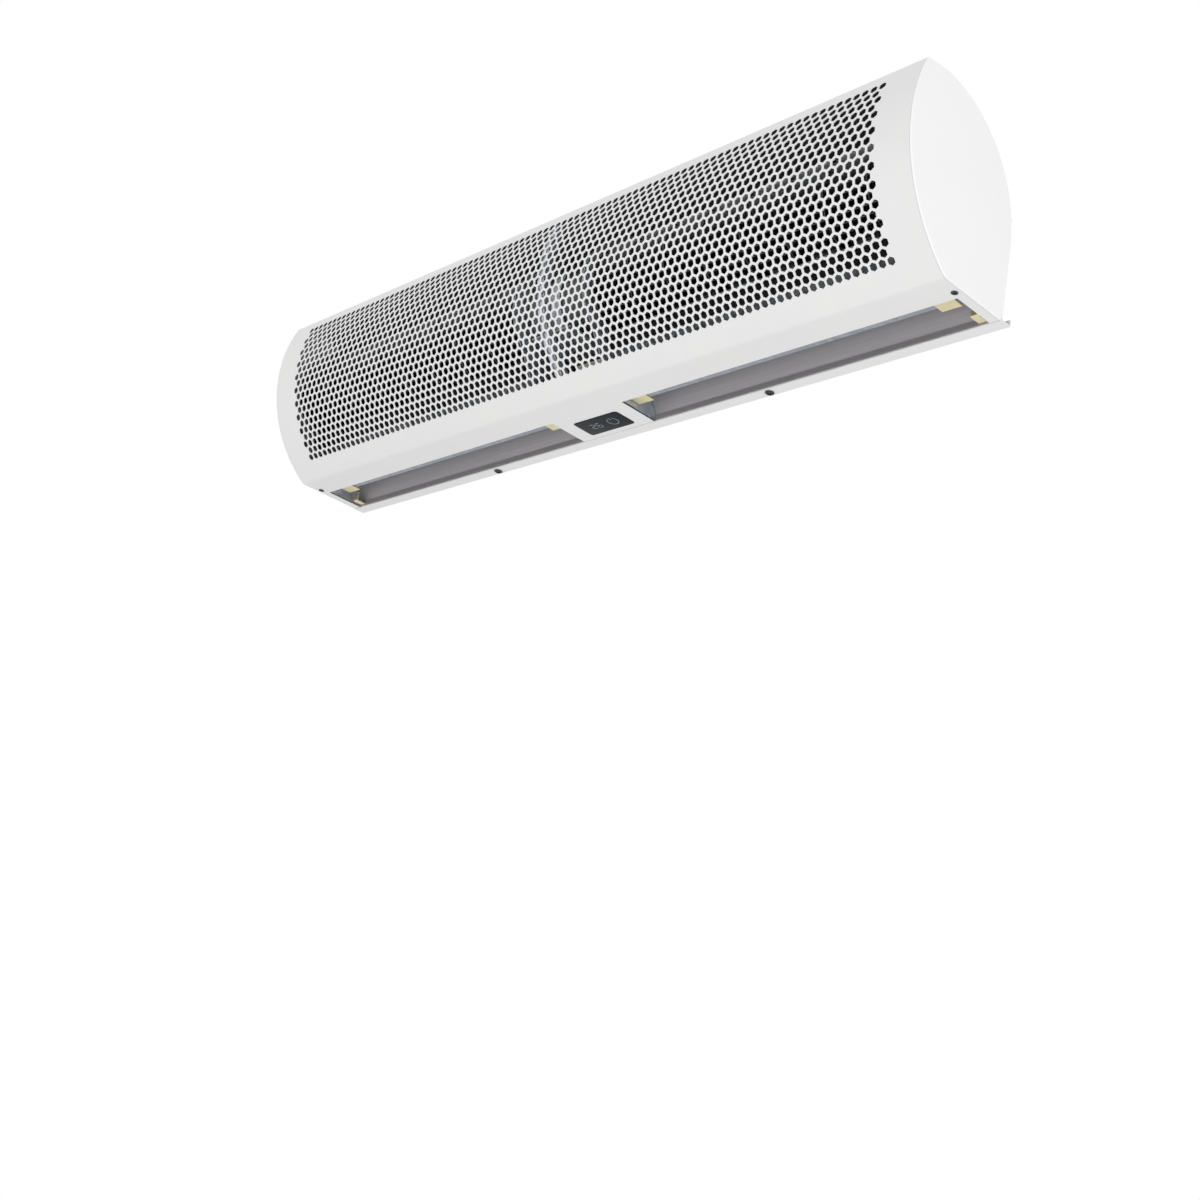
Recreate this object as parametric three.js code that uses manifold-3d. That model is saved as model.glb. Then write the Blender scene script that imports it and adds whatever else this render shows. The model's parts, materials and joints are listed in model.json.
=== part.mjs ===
// Air curtain for a 900 mm doorway, wall hung, with two cross-flow fan wheels on one motor.
// Millimetres, +X along the casing, +Y into the wall, +Z up.
// The sections are drawn with z = 0 on the underside and y = 0 on the wall; the whole
// part is then lowered so that the origin is the middle of the plate that meets the wall.

import * as THREE from 'three';
import { mergeVertices } from 'three/addons/utils/BufferGeometryUtils.js';
import Module from 'manifold-3d';

const wasm = await Module();
wasm.setup();

// ---------------------------------------------------------------- driving dimensions

const GAP = 0.3; // running and assembly clearance between neighbouring pieces

// casing
const LENGTH = 900; // over the end panels
const DEPTH = 153; // wall to the foremost line of the front
const HEIGHT = 178; // underside to the top
const SKIN = 1.2; // painted sheet of the casing
const PANEL = 1.5; // sheet of the end panels
const FRONT_RADIUS = 143; // bow of the perforated front
const FRONT_CENTRE_Z = 120; // height of the foremost line
const REAR_RADIUS = 106.5; // round back of the casing
const REAR_STANDOFF = 10.5; // room for the wall plate behind the casing
const TOP_DROP = 3; // fall of the top from its crest to the front corner
const SEAM_LAP = 13; // lip of the rear shell under the front cover
const JOGGLE_ANGLE = 2.4; // degrees of the back in which the lip steps up
const LOWER_BEND = 8; // bend between the bow and the underside
const BEND_STEPS = 3;
const BACK_STEPS = 12;
const RIM = 1.2; // folded rim of the end panels
const THROUGH = 1; // cutters run this far past what they cut

// perforated field, and the coarser pattern that stands for it here
const HOLE_PITCH = 9; // centre to centre along a row
const FIELD_SIDE = 35.5; // least bare sheet beside the field
const FIELD_FOOT = 18.9; // bare sheet between the lower bend and the field, round the bow
const FIELD_HEAD = 13; // least bare sheet above the field, round the bow
const PATCH_ROWS = 5; // rows of large openings drawn in this model
const PATCH_OPEN = 0.74; // width of a large opening as a share of its pitch

// outlets and control plate
const OUTLET_FRONT = 57.6; // front edge of both outlets, from the wall
const END_LIP = 11; // underside left of and right of the outlets
const CONTROL_WIDTH = 100; // plate between the outlets
const LENS_WIDTH = 62;
const LENS_DEPTH = 27.4;
const LENS_FRONT = 46.8; // front edge of the lens, from the wall
const LENS_CORNER = 3.5;
const LENS_THICK = 2.5;
const LENS_PROUD = 0.5;
const BOARD_MARGIN = 4; // display board beyond the lens

// bent strip that stiffens the bow behind the perforations
const BRACE_X = 8;
const BRACE_WIDTH = 9;
const BRACE_SHEET = 1;
const BRACE_WEB = 9; // height of its standing web

// wall plate
const FLANGE = 12.3; // depth of the folded bottom flange
const PLATE = 1.2;
const PLATE_HEIGHT = 105;
const PLATE_INSET = 10; // the web ends this far inside the casing
const EAR_HEIGHT = 6; // full-length strip at the foot of the web
const KEYHOLE_X = [-380, -120, 120, 380];
const KEYHOLE_Z = 62;
const KEYHOLE_HEAD = 5;
const KEYHOLE_SHANK = 2.6;
const KEYHOLE_SLOT = 10;

// rear shell
const TAB_WIDTH = 22; // tabs that the flange screws hold
const CABLE_X = 250;
const CABLE_Z = 40;
const CABLE_RADIUS = 9;
const CABLE_CLEAR = 5; // hole in the wall plate round the cable's hole
const GROMMET_LIP = 2.5;
const GROMMET_LIP_THICK = 2;
const GROMMET_WALL = 3;

// fan
const AXIS_Y = -81;
const AXIS_Z = 103;
const WHEEL_RADIUS = 46;
const WHEEL_BORE = 34; // inner edge of the blades
const WHEEL_DISC = 2;
const DISC_RING = 1; // the middle disc reaches this far inside the blades
const WHEEL_END_GAP = 5; // wheel to its end plates
const BLADES = 18;
const BLADE_THICK = 1.6;
const BLADE_INSET = 0.5; // the discs stand this far past the blades
const BLADE_ROOT_ANGLE = 13; // degrees by which the blade's inner edge leads
const BLADE_MIDDLE_ANGLE = 5;
const WHEEL_FACETS = 30;
const SCROLL_SHEET = 1;
const SCROLL_GAP_START = 3.5; // wheel to scroll where the scroll begins
const SCROLL_GAP_END = 11; // wheel to scroll behind the wheel
const SCROLL_START_ANGLE = 110; // from level at the back
const SCROLL_STEPS = 11;
const THROAT_Z = 24; // the back of the duct flares out below this
const THROAT_FOOT_Z = 7;
const TONGUE_GAP = 5;
const TONGUE_ANGLE = -105; // where the tongue is nearest to the wheel
const TONGUE_CURL = 5; // radius of its curled lip
const TONGUE_CURL_START_ANGLE = 50;
const TONGUE_CURL_END_ANGLE = 200;
const TONGUE_CURL_STEPS = 5;
const TONGUE_LAP = 12; // the foot reaches this far over the cover's underside
const TONGUE_HEM = 38.5; // rear edge of the tongue's foot, from the wall
const TONGUE_FOOT_Z = 8;
const TONGUE_NOTCH = 9; // foot cut back at its outer end
const END_PLATE = 1.2;
const END_PLATE_BACK_ANGLE = 74; // its back edge follows the rear shell up to here
const END_PLATE_RADIUS = 53; // its front edge round the fan
const END_PLATE_FRONT_ANGLE = 120; // where that edge starts above the fan
const END_PLATE_LOW_ANGLE = 225; // and where it leaves the fan for the foot
const END_PLATE_FOOT = 14; // it reaches this far in front of the outlet

// brackets in the outlets
const CLIP_WIDTH = 20;
const CLIP_SHEET = 1;
const CLIP_SETBACK = 2; // its step stands this far in front of the outlet's edge
const CLIP_NOSE = 1.5; // it reaches this far past the tongue's hem
const CLIP_END_GAP = 1;
const CORNER_BRACKET_WIDTH = 7.8;
const CORNER_BRACKET_INSET = 2.7;
const CORNER_BRACKET_DEPTH = 12;
const CORNER_BRACKET_HEIGHT = 10;
const CORNER_BRACKET_Z = 2.2;

// shaft, hubs and bearings
const SHAFT_RADIUS = 4;
const HUB_RADIUS = 14;
const HUB_LENGTH = 15;
const HUB_OPENING = 20; // hole in the inner end plates
const HUB_FLANGE = 4; // flange beyond the hub's barrel
const HUB_FLANGE_THICK = 1.7;
const HUB_CLEAR = 1; // hub to the inner end plate
const AXLE_FLANGE = 12; // radius of the stub axle's flange
const AXLE_FLANGE_THICK = 3;
const BEARING_RADIUS = 11;
const BEARING_WIDTH = 6;
const CUSHION_RADIUS = 15.5; // rubber ring round the bearing
const HOUSING_RADIUS = 18.5;
const HOUSING_FLANGE = 26;
const HOUSING_SHEET = 1;

// motor
const MOTOR_RADIUS = 41;
const MOTOR_LENGTH = 68;
const MOTOR_FACETS = 24;
const BELL_LENGTH = 11.5;
const BELL_SHOULDER = 5;
const BELL_DOME = 35; // radius at which the end bell's dome begins
const BELL_DOME_RISE = 8.6;
const BELL_FACE = 16.5;
const BELL_FACE_RISE = 10.4;
const BELL_BOSS = 12.5;
const BELL_VENTS = 6;
const BELL_VENT_RADIUS = 5;
const BELL_VENT_CIRCLE = 27;
const CHEEK_X = 25; // cradle cheeks, from the middle
const CHEEK = 3;
const CRADLE_Z = 59.5; // top of the cradle floor
const CRADLE_SHEET = 1.5;
const STRAP_WIDTH = 14;
const STRAP_SHEET = 1;
const STRAP_EAR = 12;
const STRAP_LAND = 1; // flat of the upper ear before the strap bends round the motor
const SADDLE_TOP_ANGLE = 52; // the cheeks hold the motor up to here
const SADDLE_FOOT_ANGLE = -88;
const STRAP_TOP_ANGLE = 58;
const STRAP_FOOT_ANGLE = 235; // where the strap leaves the motor for the cradle floor
const CRADLE_LIP = 2; // cradle floor in front of the strap's ear
const LEDGE_SETBACK = 3; // cradle ledge behind the cheeks' upper corner

// electrics under the motor
const TRAY_Z = 8;
const TRAY_SHEET = 1.2;
const TRAY_FRONT = 88;
const TRAY_REAR = 16;
const TRAY_WALL = 14;
const TRAY_RIB = 4.8; // height of the ribs that carry the board
const TRAY_RIB_WIDTH = 4;
const TRAY_RIB_INSET = 6;
const BOARD_SHEET = 1.6;
const BOARD_WIDTH = 88;
const BOARD_INSET = 4; // board behind the tray's front and rear edges
const PART_EDGE = 6; // board edge to the parts on it
const CAPACITOR_WIDTH = 38;
const CAPACITOR_DEPTH = 16;
const CAPACITOR_HEIGHT = 26;
const TRANSFORMER_WIDTH = 30;
const TRANSFORMER_DEPTH = 24;
const TRANSFORMER_HEIGHT = 22;
const RELAY_WIDTH = 19;
const RELAY_DEPTH = 15.5;
const RELAY_HEIGHT = 15;
const TERMINALS = 5;
const TERMINAL_PITCH = 8;
const TERMINAL_DEPTH = 14;
const TERMINAL_HEIGHT = 13;
const TERMINAL_WALL = 1.6; // between the wire pockets
const POCKET_DEPTH = 7;
const POCKET_HEIGHT = 6;

// fasteners
const SCREW_RADIUS = 2;
const SCREW_HEAD = 4.4;
const SCREW_HEAD_HEIGHT = 2;
const SCREW_LENGTH = 8;
const STRAP_SCREW_LENGTH = 5;
const FLANGE_SCREW_X = 194;
const FLANGE_SCREW_Y = -5.9;
const CORNER_SCREW_HEAD = 3;
const CORNER_SCREW_HEAD_HEIGHT = 1;
const CORNER_SCREW_Y = -66;
const CORNER_SCREW_INSET = 7.6;

// ---------------------------------------------------------------- colours and finishes

const finish = (color, roughness, metalness) =>
  new THREE.MeshStandardMaterial({ color, roughness, metalness });
const PAINT = finish(0xe4e4e4, 0.45, 0);
const PAINT_END = finish(0xf5f5f5, 0.45, 0);
const GALVANISED = finish(0xb4b8ba, 0.4, 0.85);
const DARK_SHEET = finish(0x55585c, 0.5, 0.6);
const PASSIVATED = finish(0xd8cf9a, 0.35, 0.8);
const ALUMINIUM = finish(0xc4c8cc, 0.35, 0.9);
const STEEL = finish(0x8f9396, 0.3, 0.95);
const SCREW_STEEL = finish(0x5d6064, 0.35, 0.9);
const RUBBER = finish(0x1d1d1f, 0.85, 0);
const GLASS = finish(0x16191d, 0.08, 0);
const LAMINATE = finish(0x2f5d3a, 0.6, 0);
const MOULDING = finish(0xd9d6cd, 0.55, 0);
const RELAY_BLUE = finish(0x2b4a7d, 0.5, 0);

// ---------------------------------------------------------------- small tools

const degrees = (a) => (a * Math.PI) / 180;
const polar = (y, z, radius, angle) =>
  [y + radius * Math.cos(degrees(angle)), z + radius * Math.sin(degrees(angle))];

// Points on an arc from one angle to another, both ends included.
function arc(y, z, radius, from, to, steps) {
  return Array.from({ length: steps + 1 }, (_, i) => polar(y, z, radius, from + ((to - from) * i) / steps));
}

// Closed three.js geometry to a solid for joining and cutting.
function solid(geometry) {
  const bare = geometry.index ? geometry.toNonIndexed() : geometry.clone();
  bare.deleteAttribute('normal');
  bare.deleteAttribute('uv');
  const welded = mergeVertices(bare, 1e-4);
  return new wasm.Manifold(new wasm.Mesh({
    numProp: 3,
    vertProperties: new Float32Array(welded.attributes.position.array),
    triVerts: new Uint32Array(welded.index.array),
  }));
}

function geometryOf(body) {
  const mesh = body.getMesh();
  const geometry = new THREE.BufferGeometry();
  geometry.setAttribute('position', new THREE.BufferAttribute(new Float32Array(mesh.vertProperties), 3));
  geometry.setIndex(new THREE.BufferAttribute(new Uint32Array(mesh.triVerts), 1));
  geometry.computeVertexNormals();
  return geometry;
}

const join = (...bodies) => bodies.reduce((a, b) => a.add(b));
const cut = (body, ...tools) => tools.reduce((a, b) => a.subtract(b), body);

// A section drawn in y and z, pushed along x from one place to another.
const ALONG_X = new THREE.Matrix4().makeBasis(
  new THREE.Vector3(0, 1, 0), new THREE.Vector3(0, 0, 1), new THREE.Vector3(1, 0, 0));
function slab(points, x0, x1) {
  const shape = new THREE.Shape(points.map(([y, z]) => new THREE.Vector2(y, z)));
  const geometry = new THREE.ExtrudeGeometry(shape, { depth: x1 - x0, bevelEnabled: false });
  return solid(geometry.applyMatrix4(ALONG_X).translate(x0, 0, 0));
}

function block(x0, x1, y0, y1, z0, z1) {
  const geometry = new THREE.BoxGeometry(x1 - x0, y1 - y0, z1 - z0);
  return solid(geometry.translate((x0 + x1) / 2, (y0 + y1) / 2, (z0 + z1) / 2));
}

function rodX(radius, x0, x1, y = AXIS_Y, z = AXIS_Z, sides = 20) {
  const geometry = new THREE.CylinderGeometry(radius, radius, x1 - x0, sides);
  return solid(geometry.rotateZ(-Math.PI / 2).translate((x0 + x1) / 2, y, z));
}

function rodZ(radius, z0, z1, x, y, sides = 12) {
  const geometry = new THREE.CylinderGeometry(radius, radius, z1 - z0, sides);
  return solid(geometry.rotateX(Math.PI / 2).translate(x, y, (z0 + z1) / 2));
}

function rodY(radius, y0, y1, x, z, sides = 12) {
  const geometry = new THREE.CylinderGeometry(radius, radius, y1 - y0, sides);
  return solid(geometry.translate(x, (y0 + y1) / 2, z));
}

// A ring round the fan axis; its polygons keep the same corners inside and out.
function ringX(outer, inner, x0, x1, sides = 20) {
  const bore = rodX(inner, x0 - THROUGH, x1 + THROUGH, AXIS_Y, AXIS_Z, sides);
  return cut(rodX(outer, x0, x1, AXIS_Y, AXIS_Z, sides), bore);
}

// Line through an open path moved sideways, to the left of its direction.
function offset(path, distance) {
  return path.map((point, i) => {
    const before = path[Math.max(i - 1, 0)];
    const after = path[Math.min(i + 1, path.length - 1)];
    const normals = [];
    if (i > 0) normals.push(leftNormal(before, point));
    if (i < path.length - 1) normals.push(leftNormal(point, after));
    const sum = normals.reduce((a, b) => [a[0] + b[0], a[1] + b[1]]);
    const length = Math.hypot(...sum);
    const unit = [sum[0] / length, sum[1] / length];
    const reach = distance / (unit[0] * normals[0][0] + unit[1] * normals[0][1]);
    return [point[0] + unit[0] * reach, point[1] + unit[1] * reach];
  });
}

function leftNormal(a, b) {
  const length = Math.hypot(b[0] - a[0], b[1] - a[1]);
  return [-(b[1] - a[1]) / length, (b[0] - a[0]) / length];
}

// Bent sheet: an open path and its thickness to the left.
const sheet = (path, thickness) => [...path, ...offset(path, thickness).reverse()];

const group = new THREE.Group();
const stage = new THREE.Group();
stage.position.z = -PLATE_HEIGHT / 2;
group.add(stage);

function piece(name, body, material) {
  const mesh = new THREE.Mesh(geometryOf(body), material);
  mesh.name = name;
  stage.add(mesh);
}

// The same shape at both ends: +1 is right, -1 is left.
const SIDES = [['left', -1], ['right', 1]];
const mirrored = (body, side) => (side > 0 ? body : body.mirror([1, 0, 0]));

// ---------------------------------------------------------------- casing section

const HALF = LENGTH / 2;
const INSIDE = HALF - PANEL; // inner face of an end panel
const FRONT_CENTRE_Y = FRONT_RADIUS - DEPTH;
const REAR_CENTRE_Y = -REAR_STANDOFF - REAR_RADIUS;
const REAR_CENTRE_Z = HEIGHT - REAR_RADIUS;
const heightAngle = (rise, radius) => (Math.asin(rise / radius) * 180) / Math.PI;
const bowAngle = (length) => (length * 180) / (Math.PI * FRONT_RADIUS);

// The lower bend touches the underside, and the bow from inside.
const BOW_FOOT = 180 + heightAngle(FRONT_CENTRE_Z - LOWER_BEND, FRONT_RADIUS - LOWER_BEND);
const BOW_HEAD = 180 - heightAngle(HEIGHT - TOP_DROP - FRONT_CENTRE_Z, FRONT_RADIUS);
const BEND_CENTRE = polar(FRONT_CENTRE_Y, FRONT_CENTRE_Z, FRONT_RADIUS - LOWER_BEND, BOW_FOOT);

// The staggered holes fill what the bare borders leave of the front.
const ROW_STEP = HOLE_PITCH * Math.sqrt(0.75);
const HOLE_COLUMNS = Math.floor((LENGTH - 2 * FIELD_SIDE) / HOLE_PITCH);
const FIELD_LOW = BOW_FOOT - bowAngle(FIELD_FOOT);
const FIELD_RUN = FRONT_RADIUS * degrees(FIELD_LOW - BOW_HEAD) - FIELD_HEAD;
const HOLE_ROWS = Math.floor(FIELD_RUN / ROW_STEP);
const FIELD_HIGH = FIELD_LOW - bowAngle(HOLE_ROWS * ROW_STEP);

// Outside of the front cover from the underside, round the bow, to the crest.
const BOW = [
  ...arc(...BEND_CENTRE, LOWER_BEND, 270, BOW_FOOT, BEND_STEPS),
  ...arc(FRONT_CENTRE_Y, FRONT_CENTRE_Z, FRONT_RADIUS, FIELD_LOW, FIELD_HIGH, PATCH_ROWS),
  polar(FRONT_CENTRE_Y, FRONT_CENTRE_Z, FRONT_RADIUS, BOW_HEAD),
];
const CREST = [REAR_CENTRE_Y, HEIGHT];
const BACK = arc(REAR_CENTRE_Y, REAR_CENTRE_Z, REAR_RADIUS, 90, 0, BACK_STEPS);
const REAR_FOOT = [-REAR_STANDOFF, 0];

// The back at a height, less a distance: straight up to the centre of its curve, round above.
const backAt = (z, inset = 0) =>
  REAR_CENTRE_Y + Math.sqrt((REAR_RADIUS - inset) ** 2 - Math.max(z - REAR_CENTRE_Z, 0) ** 2);

// ---------------------------------------------------------------- front cover

function frontCover() {
  const seam = -FLANGE - 2 * GAP;
  const coverEnd = INSIDE - GAP;
  const path = [[seam, 0], ...BOW, CREST];
  let body = slab(sheet(path, -SKIN), -coverEnd, coverEnd);

  const outletEnd = HALF - END_LIP;
  for (const [, side] of SIDES) {
    const ends = [side * (CONTROL_WIDTH / 2), side * outletEnd].sort((a, b) => a - b);
    body = cut(body, block(ends[0], ends[1], -OUTLET_FRONT, 0, -THROUGH, SKIN + THROUGH));
    const screwX = side * (HALF - CORNER_SCREW_INSET);
    body = cut(body, rodZ(SCREW_RADIUS + GAP, -THROUGH, SKIN + THROUGH, screwX, CORNER_SCREW_Y));
  }
  body = cut(body, lens(GAP, -THROUGH, SKIN + THROUGH));

  // Large hexagonal openings, one flat of the bow to each staggered row.
  const patchAngle = (FIELD_LOW - FIELD_HIGH) / PATCH_ROWS;
  const patchPitch = (FRONT_RADIUS * degrees(patchAngle)) / Math.sqrt(0.75);
  const fieldWidth = HOLE_COLUMNS * HOLE_PITCH;
  const columns = Math.floor(fieldWidth / patchPitch);
  for (let row = 0; row < PATCH_ROWS; row += 1) {
    const count = columns - (row % 2);
    const angle = FIELD_LOW - (row + 0.5) * patchAngle;
    const [y, z] = polar(FRONT_CENTRE_Y, FRONT_CENTRE_Z, FRONT_RADIUS, angle);
    const hexes = [];
    for (let column = 0; column < count; column += 1) {
      const hole = new THREE.CylinderGeometry(1, 1, 8 * SKIN, 6);
      const radius = (patchPitch * PATCH_OPEN) / Math.sqrt(3);
      hole.scale(radius, 1, radius);
      hole.rotateX(degrees(angle));
      hole.translate((column - (count - 1) / 2) * patchPitch, y, z);
      hexes.push(solid(hole));
    }
    body = cut(body, join(...hexes));
  }
  return body;
}

// Rounded plate of the lens, grown by a clearance.
function lens(grow, z0, z1) {
  const x = LENS_WIDTH / 2 + grow;
  const y0 = -LENS_FRONT - grow;
  const y1 = -LENS_FRONT + LENS_DEPTH + grow;
  const r = LENS_CORNER + grow;
  const shape = new THREE.Shape([
    ...arc(x - r, y0 + r, r, -90, 0, 3),
    ...arc(x - r, y1 - r, r, 0, 90, 3),
    ...arc(-x + r, y1 - r, r, 90, 180, 3),
    ...arc(-x + r, y0 + r, r, 180, 270, 3),
  ].map(([a, b]) => new THREE.Vector2(a, b)));
  const geometry = new THREE.ExtrudeGeometry(shape, { depth: z1 - z0, bevelEnabled: false });
  return solid(geometry.translate(0, 0, z0));
}

piece('front_cover', frontCover(), PAINT);

// Strip behind the perforations, with a standing web along one edge.
function coverBrace() {
  const run = offset(BOW, -SKIN - GAP).slice(BEND_STEPS + 1, -1);
  const strip = slab(sheet(run, -BRACE_SHEET), BRACE_X - BRACE_WIDTH / 2, BRACE_X + BRACE_WIDTH / 2);
  const webX = BRACE_X + BRACE_WIDTH / 2 - BRACE_SHEET;
  return join(strip, slab(sheet(run, -BRACE_WEB), webX, webX + BRACE_SHEET));
}
piece('cover_brace', coverBrace(), GALVANISED);

// ---------------------------------------------------------------- rear shell

function rearShell() {
  const shellEnd = INSIDE - GAP;
  const topCorner = BOW[BOW.length - 1];
  const topSlope = TOP_DROP / (REAR_CENTRE_Y - topCorner[0]);
  const drop = SKIN + GAP;
  const path = [
    [REAR_CENTRE_Y - SEAM_LAP, HEIGHT - topSlope * SEAM_LAP - drop],
    [REAR_CENTRE_Y + GAP, HEIGHT - drop],
    polar(REAR_CENTRE_Y, REAR_CENTRE_Z, REAR_RADIUS, 90 - JOGGLE_ANGLE),
    ...BACK.slice(1),
    [-REAR_STANDOFF, PLATE + GAP],
  ];
  let body = slab(sheet(path, -SKIN), -shellEnd, shellEnd);
  for (const [, side] of SIDES) {
    const x = side * FLANGE_SCREW_X;
    const tab = block(x - TAB_WIDTH / 2, x + TAB_WIDTH / 2, -REAR_STANDOFF - SKIN / 2, -PLATE - GAP,
      PLATE + GAP, PLATE + GAP + SKIN);
    body = join(body, tab);
    body = cut(body, rodZ(SCREW_RADIUS + GAP, 0, PLATE + GAP + SKIN + THROUGH, x, FLANGE_SCREW_Y));
  }
  const cableHole = rodY(CABLE_RADIUS + GAP, -REAR_STANDOFF - SKIN - THROUGH, -REAR_STANDOFF + THROUGH,
    CABLE_X, CABLE_Z);
  return cut(body, cableHole);
}
piece('rear_shell', rearShell(), PAINT);

function cableGrommet() {
  const mid = -REAR_STANDOFF - SKIN / 2;
  const seat = SKIN / 2 + GAP;
  const end = seat + GROMMET_LIP_THICK;
  const rod = (radius, from, to) => rodY(radius, mid + from, mid + to, CABLE_X, CABLE_Z, 20);
  return cut(
    join(
      rod(CABLE_RADIUS, -end + THROUGH, end - THROUGH),
      rod(CABLE_RADIUS + GROMMET_LIP, -end, -seat),
      rod(CABLE_RADIUS + GROMMET_LIP, seat, end)),
    rod(CABLE_RADIUS - GROMMET_WALL, -end - THROUGH, end + THROUGH));
}
piece('cable_grommet', cableGrommet(), RUBBER);

// ---------------------------------------------------------------- end panels

function endPanel(side) {
  const outline = [REAR_FOOT, ...BOW, CREST, ...BACK.slice(1)];
  const plate = slab(outline, INSIDE, HALF);
  const closed = insetLoop(outline, SKIN + GAP);
  const inner = insetLoop(outline, SKIN + GAP + RIM);
  const rimEnd = HALF - END_LIP + END_PLATE + 2 * GAP;
  const rim = cut(slab(closed, rimEnd, INSIDE + PANEL / 2), slab(inner, rimEnd - THROUGH, INSIDE));
  let body = join(plate, rim);
  // Room for the rear shell's lapped lip and for the corner screw.
  const seamDrop = SKIN + 2 * GAP;
  body = cut(body, block(rimEnd - THROUGH, INSIDE, REAR_CENTRE_Y - SEAM_LAP - THROUGH,
    REAR_CENTRE_Y + 2 * SKIN + THROUGH, HEIGHT - TOP_DROP - 2 * (seamDrop + THROUGH), HEIGHT));
  const screwX = HALF - CORNER_SCREW_INSET;
  body = cut(body, rodZ(SCREW_RADIUS + GAP, SKIN / 2, SKIN + GAP + RIM + THROUGH, screwX, CORNER_SCREW_Y));
  body = cut(body, block(rimEnd - THROUGH, HALF + THROUGH, -FLANGE - GAP, 0, -THROUGH, PLATE + GAP));
  return mirrored(body, side);
}

// A closed loop drawn inwards by a distance, whichever way round it runs.
function insetLoop(loop, distance) {
  const area = loop.reduce((sum, [y, z], i) => {
    const [y2, z2] = loop[(i + 1) % loop.length];
    return sum + y * z2 - y2 * z;
  }, 0);
  const turn = area > 0 ? distance : -distance;
  return loop.map((point, i) => {
    const before = loop[(i + loop.length - 1) % loop.length];
    const after = loop[(i + 1) % loop.length];
    return offset([before, point, after], turn)[1];
  });
}

for (const [name, side] of SIDES) piece(`end_panel_${name}`, endPanel(side), PAINT_END);

// ---------------------------------------------------------------- wall plate

function wallPlate() {
  let body = join(
    block(-HALF, HALF, -FLANGE, 0, 0, PLATE),
    block(-HALF, HALF, -PLATE, 0, PLATE / 2, EAR_HEIGHT),
    block(-HALF + PLATE_INSET, HALF - PLATE_INSET, -PLATE, 0, EAR_HEIGHT / 2, PLATE_HEIGHT),
    block(-HALF + PLATE_INSET, HALF - PLATE_INSET, backAt(PLATE_HEIGHT - PLATE) + GAP, 0,
      PLATE_HEIGHT - PLATE, PLATE_HEIGHT));
  for (const x of KEYHOLE_X) {
    body = cut(body,
      rodY(KEYHOLE_HEAD, -PLATE - THROUGH, THROUGH, x, KEYHOLE_Z),
      block(x - KEYHOLE_SHANK, x + KEYHOLE_SHANK, -PLATE - THROUGH, THROUGH,
        KEYHOLE_Z, KEYHOLE_Z + KEYHOLE_SLOT),
      rodY(KEYHOLE_SHANK, -PLATE - THROUGH, THROUGH, x, KEYHOLE_Z + KEYHOLE_SLOT));
  }
  for (const [, side] of SIDES) {
    const screwX = side * FLANGE_SCREW_X;
    body = cut(body, rodZ(SCREW_RADIUS + GAP, -THROUGH, PLATE + THROUGH, screwX, FLANGE_SCREW_Y));
  }
  return cut(body, rodY(CABLE_RADIUS + CABLE_CLEAR, -PLATE - THROUGH, THROUGH, CABLE_X, CABLE_Z, 20));
}
piece('wall_plate', wallPlate(), PAINT);

// ---------------------------------------------------------------- fan ducts

const DUCT_IN = CONTROL_WIDTH / 2; // inner end plate, face towards the motor
const DUCT_OUT = HALF - END_LIP; // outer end plate, face towards the duct
const DUCT_X0 = DUCT_IN + END_PLATE + GAP;
const DUCT_X1 = DUCT_OUT - GAP;

// Back of the duct: opens slowly round the wheel, drops, then flares to the outlet.
function scrollPath() {
  const round = Array.from({ length: SCROLL_STEPS + 1 }, (_, i) => {
    const share = i / SCROLL_STEPS;
    const gap = SCROLL_GAP_START + (SCROLL_GAP_END - SCROLL_GAP_START) * share;
    return polar(AXIS_Y, AXIS_Z, WHEEL_RADIUS + gap, SCROLL_START_ANGLE * (1 - share));
  });
  const foot = -REAR_STANDOFF - SKIN - GAP - SCROLL_SHEET;
  return [...round, [round[SCROLL_STEPS][0], THROAT_Z], [foot, THROAT_FOOT_Z], [foot, PLATE + GAP]];
}

// Front of the duct: foot over the outlet's edge, hem, slope and curled lip by the wheel.
function tonguePath() {
  const curl = polar(AXIS_Y, AXIS_Z, WHEEL_RADIUS + TONGUE_GAP + TONGUE_CURL, TONGUE_ANGLE);
  return [
    [-OUTLET_FRONT - TONGUE_LAP, TONGUE_FOOT_Z],
    [-TONGUE_HEM, TONGUE_FOOT_Z],
    ...arc(...curl, TONGUE_CURL, TONGUE_CURL_START_ANGLE, TONGUE_CURL_END_ANGLE,
      TONGUE_CURL_STEPS),
  ];
}

function endPlate(x0, hole) {
  const rear = REAR_RADIUS - SKIN - 2 * GAP;
  const outline = [
    [REAR_CENTRE_Y + rear, PLATE + 2 * GAP],
    ...arc(REAR_CENTRE_Y, REAR_CENTRE_Z, rear, 0, END_PLATE_BACK_ANGLE, 8),
    ...arc(AXIS_Y, AXIS_Z, END_PLATE_RADIUS, END_PLATE_FRONT_ANGLE, END_PLATE_LOW_ANGLE, 6),
    [-OUTLET_FRONT - END_PLATE_FOOT, PLATE + 2 * GAP],
  ];
  return cut(slab(outline, x0, x0 + END_PLATE), rodX(hole, x0 - THROUGH, x0 + END_PLATE + THROUGH));
}

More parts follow.
